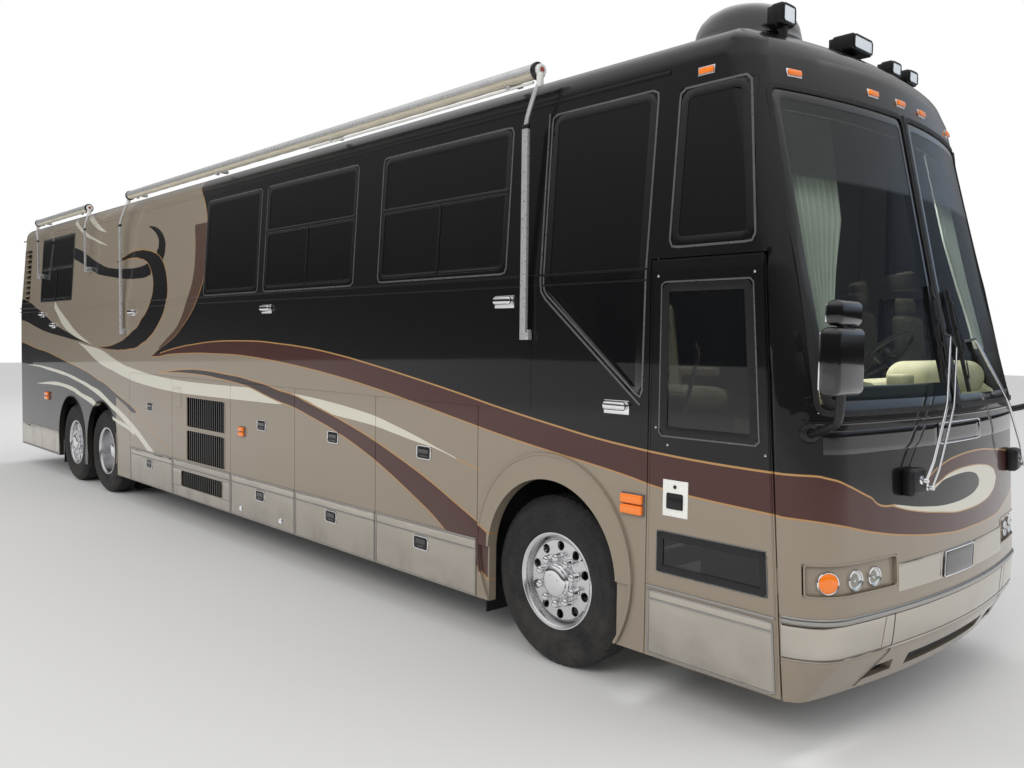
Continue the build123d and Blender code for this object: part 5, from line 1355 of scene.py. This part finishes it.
# Mirrors: bent tube arms, two rounded shells and their glasses
KNEE = [(6.540, 1.215, 1.570), (6.640, 1.300, 1.595), (6.760, 1.400, 1.638), (6.800, 1.430, 1.655),
        (6.830, 1.470, 1.700), (6.850, 1.500, 1.800)]
for side, hand in SIDES:
    y0, y1 = sorted((side * 1.372, side * 1.628))
    shells = joined(
        rounded_box((6.802, y0, 1.782), (6.898, y1, 2.074), 0.034, 5),
        rounded_box((6.815, y0 + 0.022, 2.078), (6.892, y1 - 0.022, 2.188), 0.030, 5),
        rounded_box((6.835, side * 1.5 - 0.03, 2.05), (6.865, side * 1.5 + 0.03, 2.10), 0.010),
    )
    knee = softened([(x, side * y, z) for x, y, z in KNEE], 0.03, 4, False)
    foot = [(0.050, -0.02), (0.050, 0.008), (0.042, 0.020), (0.024, 0.026)]
    foot = lathe(foot, (6.565, side * 1.235, 1.580), 1, 28, (0.75, side * 0.65, 0.1))
    glass = joined(rounded_box((6.796, y0 + 0.020, 1.805), (6.806, y1 - 0.020, 2.050), 0.005),
                   rounded_box((6.809, y0 + 0.044, 2.092), (6.819, y1 - 0.044, 2.172), 0.005))
    piece(f"mirror_shells_{hand}", shells, GLOSS, COACH, "trim_plastic", ("mirrors",) if side < 0 else ())
    piece(f"mirror_arm_{hand}", joined(tube(knee, 0.020, 16), foot), PLASTIC, COACH, "trim_plastic")
    piece(f"mirror_glass_{hand}", glass, CHROME, COACH, "lamp")


# Entry door: cladding, seals, bolts, the lock's plate
def door_front(z, gap):
    """X a gap behind the entry door's raked front edge."""
    return DOOR_FRONT_X - DOOR_RAKE * (z - SKIRT_Z) - gap


def door_quad(rear, gap, low, high):
    """Four corners on the entry door: upright behind, raked in front."""
    return [(rear, low), (door_front(low, gap), low), (door_front(high, gap), high), (rear, high)]


DOOR = "entry_door"
low = [(5.672, 0.306), (door_front(0.306, 0.026), 0.306), (door_front(0.668, 0.026), 0.652), (5.672, 0.652)]
piece("cladding_door", raised(RIGHT, low, CLAD_T, steps=(16, 6)), STAINLESS, DOOR)
door_bars = [moulding(RIGHT, low, 0.012, 0.006, 0.008, every=0.03)]
for rear, gap, z, profile in ((5.672, 0.026, BEAD_Z, BEAD), (5.656, 0.010, CAP_Z, CAP)):
    door_bars.append(laid(RIGHT, np.array([rear, door_front(z, gap)]), z, profile))
piece("cladding_door_frame", door_bars, SATIN, DOOR)
upper, lower = door_quad(5.722, 0.062, 1.500, 2.320), door_quad(5.722, 0.045, 0.765, 0.990)
beads = joined(moulding(RIGHT, upper, 0.008, 0.003, 0.02, every=0.03),
               moulding(RIGHT, lower, 0.006, 0.003, 0.004, every=0.03))
piece("door_glass_beads", beads, EDGE_TRIM, DOOR, "rubber")
borders = joined(moulding(RIGHT, moved_in(upper, 0.027), 0.050, 0.0014, 0.03, every=0.03, ease=0.1),
                 moulding(RIGHT, moved_in(lower, 0.022), 0.042, 0.0016, 0.004, every=0.03, ease=0.1))
piece("door_glass_borders", borders, PLASTIC, DOOR, "rubber")
outline = moulding(RIGHT, door_quad(5.662, 0.014, 0.30, 2.43), 0.006, 0.002, 0.01, every=0.05)
piece("door_edge", outline, PAINT, DOOR, "door_paint")
bolts = [(5.698, 2.352), (6.285, 2.350), (5.700, 1.543), (5.780, 1.455), (door_front(1.46, 0.030), 1.458)]
piece("door_bolts", on_skin(button(0.007, 0.004), RIGHT, bolts), CHROME, DOOR, "lamp")
plate = joined(raised(RIGHT, rectangle(5.757, 5.920, 1.075, 1.270), 0.004, 0.004, (12, 12)),
               moulding(RIGHT, rectangle(5.780, 5.896, 1.112, 1.205), 0.006, 0.007, 0.012, every=0.01))
piece("door_lock_plate", plate, WHITE, DOOR)
cylinder = [(0.010, 0.004), (0.010, 0.007), (0.008, 0.009), (0.001, 0.0092)]
handle = joined(raised(RIGHT, rectangle(5.783, 5.893, 1.115, 1.202), 0.0055, 0.002),
                rounded_box((5.790, -1.3085, 1.122), (5.886, -1.3000, 1.172), 0.004),
                lathe(cylinder, (5.838, -1.295, 1.236), -1, 24))
piece("door_lock", handle, PLASTIC, DOOR, "trim_plastic")
rear_low, front_low, front_high, rear_high = door_quad(5.648, -0.010, 0.30, 2.443)
doorway = [rear_low, rear_high, front_high, front_low]
seal = moulding(RIGHT, doorway, 0.030, 0.006, 0.012, False, 0.03, -0.066, 0.2)
piece("doorway_seal", seal, RUBBER, COACH, "rubber")
rail = [(5.74, -1.245, 1.30), (5.74, -1.200, 1.34), (5.90, -1.200, 1.95), (5.90, -1.245, 2.0)]
piece("door_grab_rail", tube(softened(rail, 0.03, 4, False), 0.012, 12), CHROME, DOOR, "lamp")

# Cockpit window: a bright bead down its rear edge and slanted sill
sill = moulding(RIGHT, [(4.800, 3.375), (4.800, 2.285), (5.590, 1.655)], 0.012, 0.006, 0.05, False)
piece("cockpit_sill_bead", sill, EDGE_TRIM, COACH, "body_paint")

# Awnings: a metal hood over each roll, the roll's fabric below it, end castings, brackets and bent arms
ROLL_Y, ROLL_Z, ROLL_R = -1.298, 3.628, 0.044
# Each roll's two ends and its count of brackets
AWNINGS = ((-2.05, 4.75, 4), (-5.75, -3.52, 2))
SHOWN = 160
# (radius, offset) of an end's disc, boss and cap
END_DISC = [(0.0005, -0.01), (0.053, -0.01), (0.054, -0.004), (0.054, 0.012), (0.050, 0.016), (0.0005, 0.016)]
END_BOSS = [(0.0005, 0.014), (0.036, 0.014), (0.038, 0.018), (0.038, 0.036), (0.034, 0.042), (0.022, 0.044),
            (0.020, 0.041), (0.0005, 0.041)]
END_CAP = [(0.018, 0.040), (0.016, 0.044), (0.0005, 0.045)]


def roll_arc(low, high, radius, count):
    """(y, z) on a circle about the roll's axis; degrees count from the outward side over the top."""
    a = np.radians(np.linspace(low, high, count))
    return np.stack([ROLL_Y - radius * np.cos(a), ROLL_Z + radius * np.sin(a)], 1)


def hood_strip(x0, x1, low, high, outer, inner, count):
    """A curved sheet between two radii about the roll, carried straight along X."""
    over, under = roll_arc(low, high, ROLL_R + outer, count), roll_arc(high, low, ROLL_R + inner, count)
    outline = np.vstack([over, under])
    rows = [np.column_stack([np.full(len(outline), x), outline]) for x in (x0, x1)]
    return net(capped(np.array(rows)), wrap_v=True)


for k, (x0, x1, brackets) in enumerate(AWNINGS):
    places = np.linspace(x0 + 0.25, x1 - 0.25, brackets)
    mounts = [block(x, 0.022, (-1.262, -1.195), (ROLL_Z - 0.038, ROLL_Z - 0.008), 0.006) for x in places]
    clamps = [block(x, 0.018, (-1.318, -1.286), (ROLL_Z - 0.062, ROLL_Z - 0.040), 0.005) for x in places]
    hood = joined(hood_strip(x0, x1, -8, 168, 0.005, 0.002, 24),
                  hood_strip(x0, x1, -14, -4, 0.0065, 0.001, 4), *mounts, *clamps)
    piece(f"awning_hood_{k + 1}", hood, CASE, COACH, "awning_shell", ("awnings",) if k == 0 else ())
    around = round_profile(2 * ROLL_R - 0.004, 2 * ROLL_R - 0.004, 24)
    core = swept(around, [(x, ROLL_Y, ROLL_Z) for x in (x0, x1)], (0, 0, 1))
    piece(f"awning_roll_{k + 1}", core, FABRIC, COACH, "leather")

    # Cloth below the hood: x along u, (y, z) on the roll at angle v, with a slow crease of 0.9 mm
    u = np.linspace(x0 + 0.01, x1 - 0.01, 160)[:, None]
    v = np.radians(np.linspace(-12, -12 - SHOWN, 14))[None]
    crease = ROLL_R - 0.001 + 0.0009 * np.sin(u * 23 + 3 * v)
    cloth = np.stack(np.broadcast_arrays(u, ROLL_Y - crease * np.cos(v), ROLL_Z + crease * np.sin(v)), -1)
    fabric = piece(f"awning_fabric_{k + 1}", net(cloth), FABRIC, COACH, "leather", (), 60)
    for name, profile, turns, look, slot in (
        ("ends", END_DISC, 40, PLASTIC, "trim_plastic"),
        ("bosses", END_BOSS, 40, CASTING, "awning_shell"),
        ("caps", END_CAP, 28, CORE, "awning_shell"),
    ):
        pair = [lathe(profile, (x, ROLL_Y, ROLL_Z), way, turns, (1, 0, 0)) for x, way in ((x0, -1), (x1, 1))]
        piece(f"awning_{name}_{k + 1}", pair, look, COACH, slot)
valance = [(2.05, -1.302, ROLL_Z - 0.062), (3.4, -1.302, ROLL_Z - 0.064), (4.72, -1.302, ROLL_Z - 0.062)]
piece("awning_valance", tube(valance, 0.008), CASTING, COACH, "awning_shell")

# Arms, each a bent tube, a fluted channel and a foot: X and foot of the channel, X of the roll's end,
# top of the channel
ARMS = ((4.690, 2.040, 4.782, 3.300), (-2.300, 2.050, -2.082, 3.300), (-3.580, 2.850, -3.488, 3.360),
        (-5.690, 2.850, -5.782, 3.360))
bent, channels, collars, elbows, feet = [], [], [], [], []
for x, foot, end, top in ARMS:
    neck = [(end, ROLL_Y, ROLL_Z - 0.01), (end, ROLL_Y - 0.012, ROLL_Z - 0.075),
            (end * 0.75 + x * 0.25, -1.330, ROLL_Z - 0.14), (x, -1.332, top + 0.03), (x, -1.332, top - 0.06)]
    bent.append(tube(softened(neck, 0.06, 5, False), 0.014, 16))
    across, up = (ROLL_Y - 0.030, ROLL_Y + 0.012), (ROLL_Z - 0.105, ROLL_Z - 0.015)
    elbows.append(block(end, 0.019, across, up, 0.016, 4))
    wide = 0.025 if foot < 2.5 else 0.014
    flutes = [(-wide, -0.012), (wide, -0.012), (wide, 0.009), (wide * 0.62, 0.012), (wide * 0.5, 0.009),
              (wide * 0.1, 0.009), (0, 0.0125), (-wide * 0.1, 0.009), (-wide * 0.5, 0.009),
              (-wide * 0.62, 0.012), (-wide, 0.009)]
    upright = [(x, -1.333, z) for z in (foot - 0.036, (foot + top) / 2, top)]
    channels.append(swept(softened(flutes, 0.0016, 2), upright, (0, -1, 0)))
    collars.append(block(x, wide + 0.003, (-1.347, -1.319), (top - 0.015, top + 0.012), 0.005))
    feet.append(rounded_box((x - 0.012, -1.326, foot - 0.030), (x + 0.030, -1.240, foot + 0.028), 0.008))
    feet.append(rounded_box((x + 0.012, -1.340, foot - 0.036), (x + 0.046, -1.300, foot + 0.010), 0.006))
piece("awning_arms_detail", joined(*channels, *bent, *feet), CASE, COACH, "awning_shell", ("awning_arms",))
piece("awning_arm_collars", collars, PLASTIC, COACH, "trim_plastic")
piece("awning_elbows", elbows, CASTING, COACH, "awning_shell")

# Roof: dome, spot lamp on its pedestal and flood lamps
DOME = [(305, -30), (308, -6), (306, 0), (300, 8), (296, 30), (284, 84), (264, 124), (228, 162), (180, 190),
        (120, 207), (60, 214), (0.5, 216)]
dome = lathe(np.array(DOME) / 1000, (5.790, -0.650, 3.670), 1, 96, (0, 0, 1))
piece("dome", dome, GLOSS, COACH, "trim_plastic", ("roof_dome",))
# Roof lamps: X, Y, half depth, half width, foot and top
ROOF_LAMPS = ((6.12, -0.06, 0.070, 0.118, 3.690, 3.785), (6.14, 0.40, 0.040, 0.066, 3.652, 3.742),
              (6.14, 0.64, 0.040, 0.066, 3.648, 3.738), (6.13, -0.84, 0.040, 0.066, 3.665, 3.775))
PEDESTAL = [(0.024, -0.11), (0.024, -0.012), (0.030, -0.006), (0.016, 0.0), (0.016, 0.02)]


def upright_plane(x):
    """A skin that is a flat wall at X, over (y, z), lifted forwards."""
    def skin(u, v, lift=0.0):
        return np.stack(np.broadcast_arrays(x + np.asarray(lift), u, v), -1)
    return skin


bodies, glasses, bezels = [], [], []
for x, y, deep, wide, low, top in ROOF_LAMPS:
    face, back, mid_z = x + deep - 0.006, x - deep, (low + top) / 2
    bodies.append(rounded_box((back, y - wide, low), (face, y + wide, top), 0.014, 4))
    for k in range(10):
        fin = y - wide + 0.008 + k * wide / 5
        ends = (back - 0.022, fin, low + 0.010), (back + 0.01, fin + 0.006, top - 0.010)
        bodies.append(rounded_box(*ends, 0.002, 2))
    plane = upright_plane(face)
    edges = rectangle(y - wide + 0.010, y + wide - 0.010, low + 0.010, top - 0.010)
    bezels.append(moulding(plane, edges, 0.012, 0.005, 0.012, every=0.02))
    edges = rectangle(y - wide + 0.014, y + wide - 0.014, low + 0.014, top - 0.014)
    glasses.append(raised(plane, edges, 0.003))
    bodies.append(lathe(PEDESTAL, (x, y, low), 1, 24, (0, 0, 1)))
    yoke = [(x - 0.01, y - wide, mid_z), (x - 0.01, y - wide + 0.002, low - 0.004),
            (x - 0.01, y + wide - 0.002, low - 0.004), (x - 0.01, y + wide, mid_z)]
    bodies.append(tube(softened(yoke, 0.01, 3, False), 0.004, 8))
piece("roof_lamp_bodies", bodies, PLASTIC, COACH, "trim_plastic", ("roof_lamps",))
piece("roof_lamp_bezels", bezels, PLASTIC, COACH, "trim_plastic")
piece("roof_lamp_lenses", glasses, CLEAR, COACH, "lens")

# Rear: round tail lamps, engine door trim, blank plate, low band, clearance lamps, louvres, tailpipe
TAIL_X, TAIL_Y, TAIL_LAMPS = -6.946, 1.045, ((0.980, "red"), (1.150, "amber"), (1.320, "red"))
rings, covers = [], {"red": [], "amber": []}
for side in (-1, 1):
    for z, kind in TAIL_LAMPS:
        foot = (TAIL_X, side * TAIL_Y, z)
        ring = [(0.066, 0), (0.066, 0.008), (0.061, 0.013), (0.055, 0.010)]
        cover = [(0.057, 0.004), (0.050, 0.012), (0.030, 0.017), (0.001, 0.0185)]
        rings.append(lathe(ring, foot, -1, 40, (1, 0, 0)))
        covers[kind].append(lathe(cover, foot, -1, 40, (1, 0, 0)))
piece("tail_rings", rings, CHROME, COACH, "lamp", ("tail_lamps",))
piece("tail_lenses", covers["red"], RED, COACH, "tail_lens")
piece("tail_indicators", covers["amber"], AMBER, COACH, "lens")
line = moulding(rear_skin, rectangle(-0.92, 0.92, 0.785, 1.675), 0.012, 0.003, 0.04, every=0.04)
piece("engine_door_line", line, PAINT, "engine_door", "door_paint")
handles = [rounded_box((-6.958, y - 0.07, 0.86), (TAIL_X, y + 0.07, 0.90), 0.005) for y in (-0.55, 0.55)]
piece("engine_door_handles", handles, CHROME, "engine_door", "lamp")
plate = raised(rear_skin, rectangle(-0.17, 0.17, 0.965, 1.115), 0.005, 0.004)
piece("rear_blank_plate", plate, WHITE, "engine_door")
band = raised(rear_skin, rectangle(-1.14, 1.14, 0.335, 0.600), CLAD_T, steps=(40, 6))
piece("cladding_rear", band, STAINLESS, COACH)
lamps = [on_skin(pad(0.045, 0.016, 0.0, 0.014, 0.008), rear_skin, [(y, 3.36)]) for y in CLEARANCE_Y]
piece("rear_clearance_lamps", lamps, RED, COACH, "tail_lens")
for side, hand in SIDES:
    skin = SKINS[side]
    line = moulding(skin, rectangle(-6.705, -6.325, 2.475, 3.285), 0.016, 0.005, 0.02, every=0.04)
    piece(f"louvre_frame_{hand}", line, PAINT, COACH, "body_paint")
    panel = raised(set_back(skin, 0.062), rectangle(-6.70, -6.33, 2.48, 3.28), 0.002)
    piece(f"louvre_mesh_{hand}", panel, STEEL, COACH)
pipe = [(-6.70, 0.62, 0.34), (-6.80, 0.62, 0.33), (-6.935, 0.62, 0.32)]
bore = [(-6.90, 0.62, 0.3225), (-6.937, 0.62, 0.3198)]
piece("tailpipe", swept(round_profile(0.09, 0.09, 24), pipe, (0, 0, 1)), CHROME, COACH, "lamp")
piece("tailpipe_bore", swept(round_profile(0.076, 0.076, 24), bore, (0, 0, 1)), STEEL, COACH)


def eased_node(name, slot, angle=32):
    """A CAD node again with its shared corners merged, so that its rounded corners shade as one curve."""
    mesh = bpy.data.objects[name].data.copy()
    work = bmesh.new()
    work.from_mesh(mesh)
    bmesh.ops.remove_doubles(work, verts=work.verts, dist=2e-5)
    work.to_mesh(mesh)
    work.free()
    mesh.polygons.foreach_set("use_smooth", np.ones(len(mesh.polygons), bool))
    mesh.set_sharp_from_angle(angle=math.radians(angle))
    made = bpy.data.objects.new(name + "_eased", mesh)
    bpy.context.scene.collection.objects.link(made)
    weighted = made.modifiers.new("weighted", "WEIGHTED_NORMAL")
    weighted.keep_sharp = True
    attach(made, COACH)
    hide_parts(name)


for name, slot in (("front_mask", "body_paint"), ("roof", "roof_paint"), ("rear_cap", "body_paint")):
    eased_node(name, slot)


def points_of(mesh):
    """A mesh's points as an (n, 3) array."""
    flat = np.empty(len(mesh.vertices) * 3)
    mesh.vertices.foreach_get("co", flat)
    return flat.reshape(-1, 3)


def stuffed(made, cap):
    """Swells a cushion as cloth under pressure, no point moving further than cap."""
    scene = bpy.context.scene
    voxels = made.modifiers.new("voxels", "REMESH")
    voxels.mode, voxels.voxel_size, voxels.use_smooth_shade = "VOXEL", 0.010, True
    view = bpy.context.evaluated_depsgraph_get()
    swelling = bpy.data.meshes.new_from_object(made.evaluated_get(view))
    made.modifiers.clear()
    made.data = swelling
    cloth = made.modifiers.new("cloth", "CLOTH")
    cloth.settings.quality = 4
    cloth.settings.use_pressure = True
    cloth.settings.uniform_pressure_force = 4.0
    cloth.settings.effector_weights.gravity = 0.0
    for frame_number in range(1, 17):
        scene.frame_set(frame_number)
    view = bpy.context.evaluated_depsgraph_get()
    start = points_of(swelling)
    move = points_of(made.evaluated_get(view).data) - start
    far = np.linalg.norm(move, axis=1, keepdims=True)
    made.modifiers.clear()
    scene.frame_set(1)
    ends = start + move * np.minimum(1, cap / np.maximum(far, 1e-9))
    swelling.vertices.foreach_set("co", ends.ravel())
    swelling.polygons.foreach_set("use_smooth", np.ones(len(swelling.polygons), bool))
    swelling.update()


# Cockpit seats with separate cushions, headrests, piping and arm rests: X and Y of each; the back leans by
# BACK_LEAN
SEATS = ((5.480, 0.620), (5.300, -0.620))
SEAT_Z = 1.590
BACK_LEAN = math.atan2(0.105, 0.76)
LEANED = np.array([[math.cos(BACK_LEAN), 0, -math.sin(BACK_LEAN)], [0, 1, 0],
                   [math.sin(BACK_LEAN), 0, math.cos(BACK_LEAN)]])
for k, (x, y) in enumerate(SEATS):
    place = np.array([x - 0.150, y, SEAT_Z + 0.085])
    low, high = (x - 0.20, y - 0.245, SEAT_Z + 0.004), (x + 0.262, y + 0.245, SEAT_Z + 0.128)
    base = rounded_box(low, high, 0.050, 6)
    back = pad(0.055, 0.235, 0.0, 0.60, 0.050, 6)
    head = rounded_box((-0.050, -0.150, 0.615), (0.045, 0.150, 0.770), 0.045, 6)
    cushions = joined(base, *[(points @ LEANED.T + place, quads) for points, quads in (back, head)])
    replaced = ("seat_cushions",) if k == 0 else ()
    made = piece(f"seat_{k + 1}", cushions, LEATHER, COACH, "leather", replaced, 60)
    stuffed(made, 0.012)
    loop = softened(rectangle(x - 0.19, x + 0.25, y - 0.235, y + 0.235), 0.06, 6)
    edge = softened(rectangle(-0.205, 0.205, 0.03, 0.57), 0.06, 6)
    around_seat = np.column_stack([loop, np.full(len(loop), SEAT_Z + 0.118)])
    around_back = np.column_stack([np.full(len(edge), 0.052), edge]) @ LEANED.T + place
    piping = [swept(round_profile(0.008, 0.008, 8), path, up, True)
              for path, up in ((around_seat, (0.2, 0, 1)), (around_back, (1, 0, 0.1)))]
    piece(f"seat_piping_{k + 1}", piping, LEATHER, COACH, "leather", (), 60)
    rests, stays = [], []
    for s in (-1, 1):
        arm_y = y + s * 0.250
        low, high = (x - 0.14, arm_y - 0.025, SEAT_Z + 0.20), (x + 0.16, arm_y + 0.025, SEAT_Z + 0.255)
        rests.append(rounded_box(low, high, 0.02, 4))
        stay = [(x - 0.15, y + s * 0.235, SEAT_Z + 0.10), (x - 0.12, arm_y, SEAT_Z + 0.22)]
        stays.append(tube(stay, 0.012))
    piece(f"seat_arms_{k + 1}", joined(*rests, *stays), LEATHER, COACH, "leather", (), 60)

# Curtains beside the windscreen: nine folds that draw together as they fall and keep their length of cloth
FOLDS, FOLD_LENGTH, CURTAIN_LOW, CURTAIN_HIGH = 9, 0.070, 1.98, 3.19
CURTAIN_EDGE, BEHIND_SCREEN = 1.065, 0.095
for side, hand in SIDES:
    u = np.linspace(0, 1, 145)[:, None]
    z = np.linspace(CURTAIN_LOW, CURTAIN_HIGH, 28)[None]
    inner = np.interp(z, (CURTAIN_LOW, 2.20, 2.65, CURTAIN_HIGH), (0.90, 0.86, 0.66, 0.60))
    wave = (CURTAIN_EDGE - inner) / FOLDS
    depth = np.sqrt(FOLD_LENGTH ** 2 - wave ** 2) / 4
    y = side * (CURTAIN_EDGE + (inner - CURTAIN_EDGE) * u)
    x = NOSE(y, np.broadcast_to(z, y.shape))[..., 0] - BEHIND_SCREEN + depth * np.sin(u * 2 * math.pi * FOLDS)
    cloth = net(np.stack(np.broadcast_arrays(x, y, z), -1))
    drape = piece(f"curtain_{hand}", cloth, CURTAIN, COACH, "leather", (), 70)
rod = tube(NOSE(np.linspace(-1.08, 1.08, 31), 3.205) - (BEHIND_SCREEN, 0, 0), 0.008)
piece("curtain_rod", rod, CHROME, COACH, "lamp")

# Dash: a soft pad below the kerb-side pane with a bright bead on it, a cream ledge, and the driver's hood
run = NOSE(np.linspace(-1.04, 0.10, 40), 1.748)
soft = swept(bar_profile(0.088, 0.040), run - (0.090, 0, 0), (1, 0, 0))
piece("dash_pad", soft, PLASTIC, COACH, "dash_plastic")
piece("dash_bead", tube(run + (-0.066, 0, 0.046), 0.004), CHROME, COACH, "lamp")
ledge = rounded_box((6.500, -0.330, 1.780), (6.600, -0.180, 1.842), 0.018, 4)
piece("dash_ledge", ledge, DASH, COACH, "dash_plastic")
hood = rounded_box((6.250, 0.150, 1.690), (6.555, 1.030, 1.905), 0.100, 8)
piece("dash_hood", hood, DASH, COACH, "dash_plastic", (), 60)

# Floor, light and camera
floor_mesh = bpy.data.meshes.new("floor")
floor_mesh.from_pydata([(-60, -60, 0), (60, -60, 0), (60, 60, 0), (-60, 60, 0)], [], [(0, 1, 2, 3)])
floor_mesh.materials.append(Look("studio_floor").surface(sight(222, 222, 222), 0.8))
floor = bpy.data.objects.new("floor", floor_mesh)
bpy.context.scene.collection.objects.link(floor)


def area_light(name, place, target, wide, tall, power, color=(1, 1, 1)):
    """A rectangle of light that looks at a point and shows in no mirror."""
    lamp = bpy.data.lights.new(name, "AREA")
    lamp.shape, lamp.size, lamp.size_y, lamp.energy, lamp.color = "RECTANGLE", wide, tall, power, color
    made = bpy.data.objects.new(name, lamp)
    made.location = place
    made.rotation_euler = (Vector(target) - Vector(place)).to_track_quat("-Z", "Y").to_euler()
    made.visible_glossy = False
    bpy.context.scene.collection.objects.link(made)


area_light("key", (9.0, -15.0, 12.0), (1.0, 0.0, 1.5), 9.0, 6.0, 1050, (1.0, 0.97, 0.93))
area_light("fill", (18.0, 6.0, 8.0), (3.0, 0.0, 1.8), 8.0, 6.0, 420, (0.95, 0.97, 1.0))
area_light("back", (-14.0, 12.0, 11.0), (-1.0, 0.0, 1.8), 9.0, 6.0, 600)
area_light("side", (-8.0, -16.0, 7.0), (-3.0, 0.0, 1.8), 8.0, 5.0, 380)
area_light("cabin", (5.30, 0.0, 3.42), (5.45, 0.0, 1.3), 1.5, 2.1, 130)

bpy.context.scene.world = bpy.data.worlds.new("studio")
sky = Look("studio", bpy.context.scene.world)
rays = sky.node("LightPath").outputs
east, north, up = sky.node("SeparateXYZ", i0=sky.node("TexCoord").outputs["Generated"]).outputs


def ramp(value, low, high):
    """A smooth step from 0 at low to 1 at high."""
    smooth = {"interpolation_type": "SMOOTHSTEP"}
    return sky.node("MapRange", smooth, i0=value, i1=low, i2=high, i3=0.0, i4=1.0).outputs[0]


# Mirrors and glass see a soft horizon, pale above a darker ground, and a bank of cool light low over the
# front left, which the windscreen mirrors towards the camera
slope = sky.op("POWER", sky.between(up, 0.0, 0.65), 1.7)
ahead = sky.op("ADD", sky.op("MULTIPLY", east, 0.5), sky.op("MULTIPLY", north, 0.85))
bank = sky.both(ramp(ahead, 0.60, 0.95), sky.both(ramp(up, 0.03, 0.13), ramp(up, 0.50, 0.22)))
glow = sky.op("ADD", sky.op("MULTIPLY", slope, 0.85), sky.op("MULTIPLY", bank, 0.42))
cool = sky.mix(bank, (1, 1, 1, 1), (0.62, 0.78, 1.0, 1))
in_mirrors = sky.node("Background", Color=cool, Strength=sky.op("ADD", glow, 0.02))
ambient = sky.node("Background", Color=(1, 1, 1, 1), Strength=0.82)
seen = sky.node("Background", Color=(1, 1, 1, 1), Strength=1.0)
glossy = sky.node("MixShader", Fac=rays["Is Glossy Ray"], i1=ambient.outputs[0], i2=in_mirrors.outputs[0])
straight = sky.op("MAXIMUM", rays["Is Camera Ray"], rays["Is Transmission Ray"])
direct = sky.node("MixShader", Fac=straight, i1=glossy.outputs[0], i2=seen.outputs[0])
sky.node("OutputWorld", Surface=direct.outputs[0])
bpy.context.scene.view_settings.view_transform = "Standard"

# The photo's camera, found by least squares on the wheels, doors and corners
CAMERA_X, CAMERA_Y, CAMERA_Z = 8.692, -5.107, 2.005
yaw, pitch, roll = math.radians(137.361), math.radians(-2.856), math.radians(0.684)
look_at = Vector((math.cos(pitch) * math.cos(yaw), math.cos(pitch) * math.sin(yaw), math.sin(pitch)))
level = look_at.cross(Vector((0, 0, 1))).normalized()
upright = level.cross(look_at)
right = math.cos(roll) * level + math.sin(roll) * upright
upward = math.cos(roll) * upright - math.sin(roll) * level
shot = bpy.data.cameras.new("photo_camera")
shot.sensor_width, shot.lens, shot.clip_end = 36.0, 31.34, 400.0
camera = bpy.data.objects.new("photo_camera", shot)
camera.matrix_world = Matrix((
    (right.x, upward.x, -look_at.x, CAMERA_X),
    (right.y, upward.y, -look_at.y, CAMERA_Y),
    (right.z, upward.z, -look_at.z, CAMERA_Z),
    (0, 0, 0, 1),
))
bpy.context.scene.collection.objects.link(camera)
bpy.context.scene.camera = camera

bpy.context.view_layer.update()
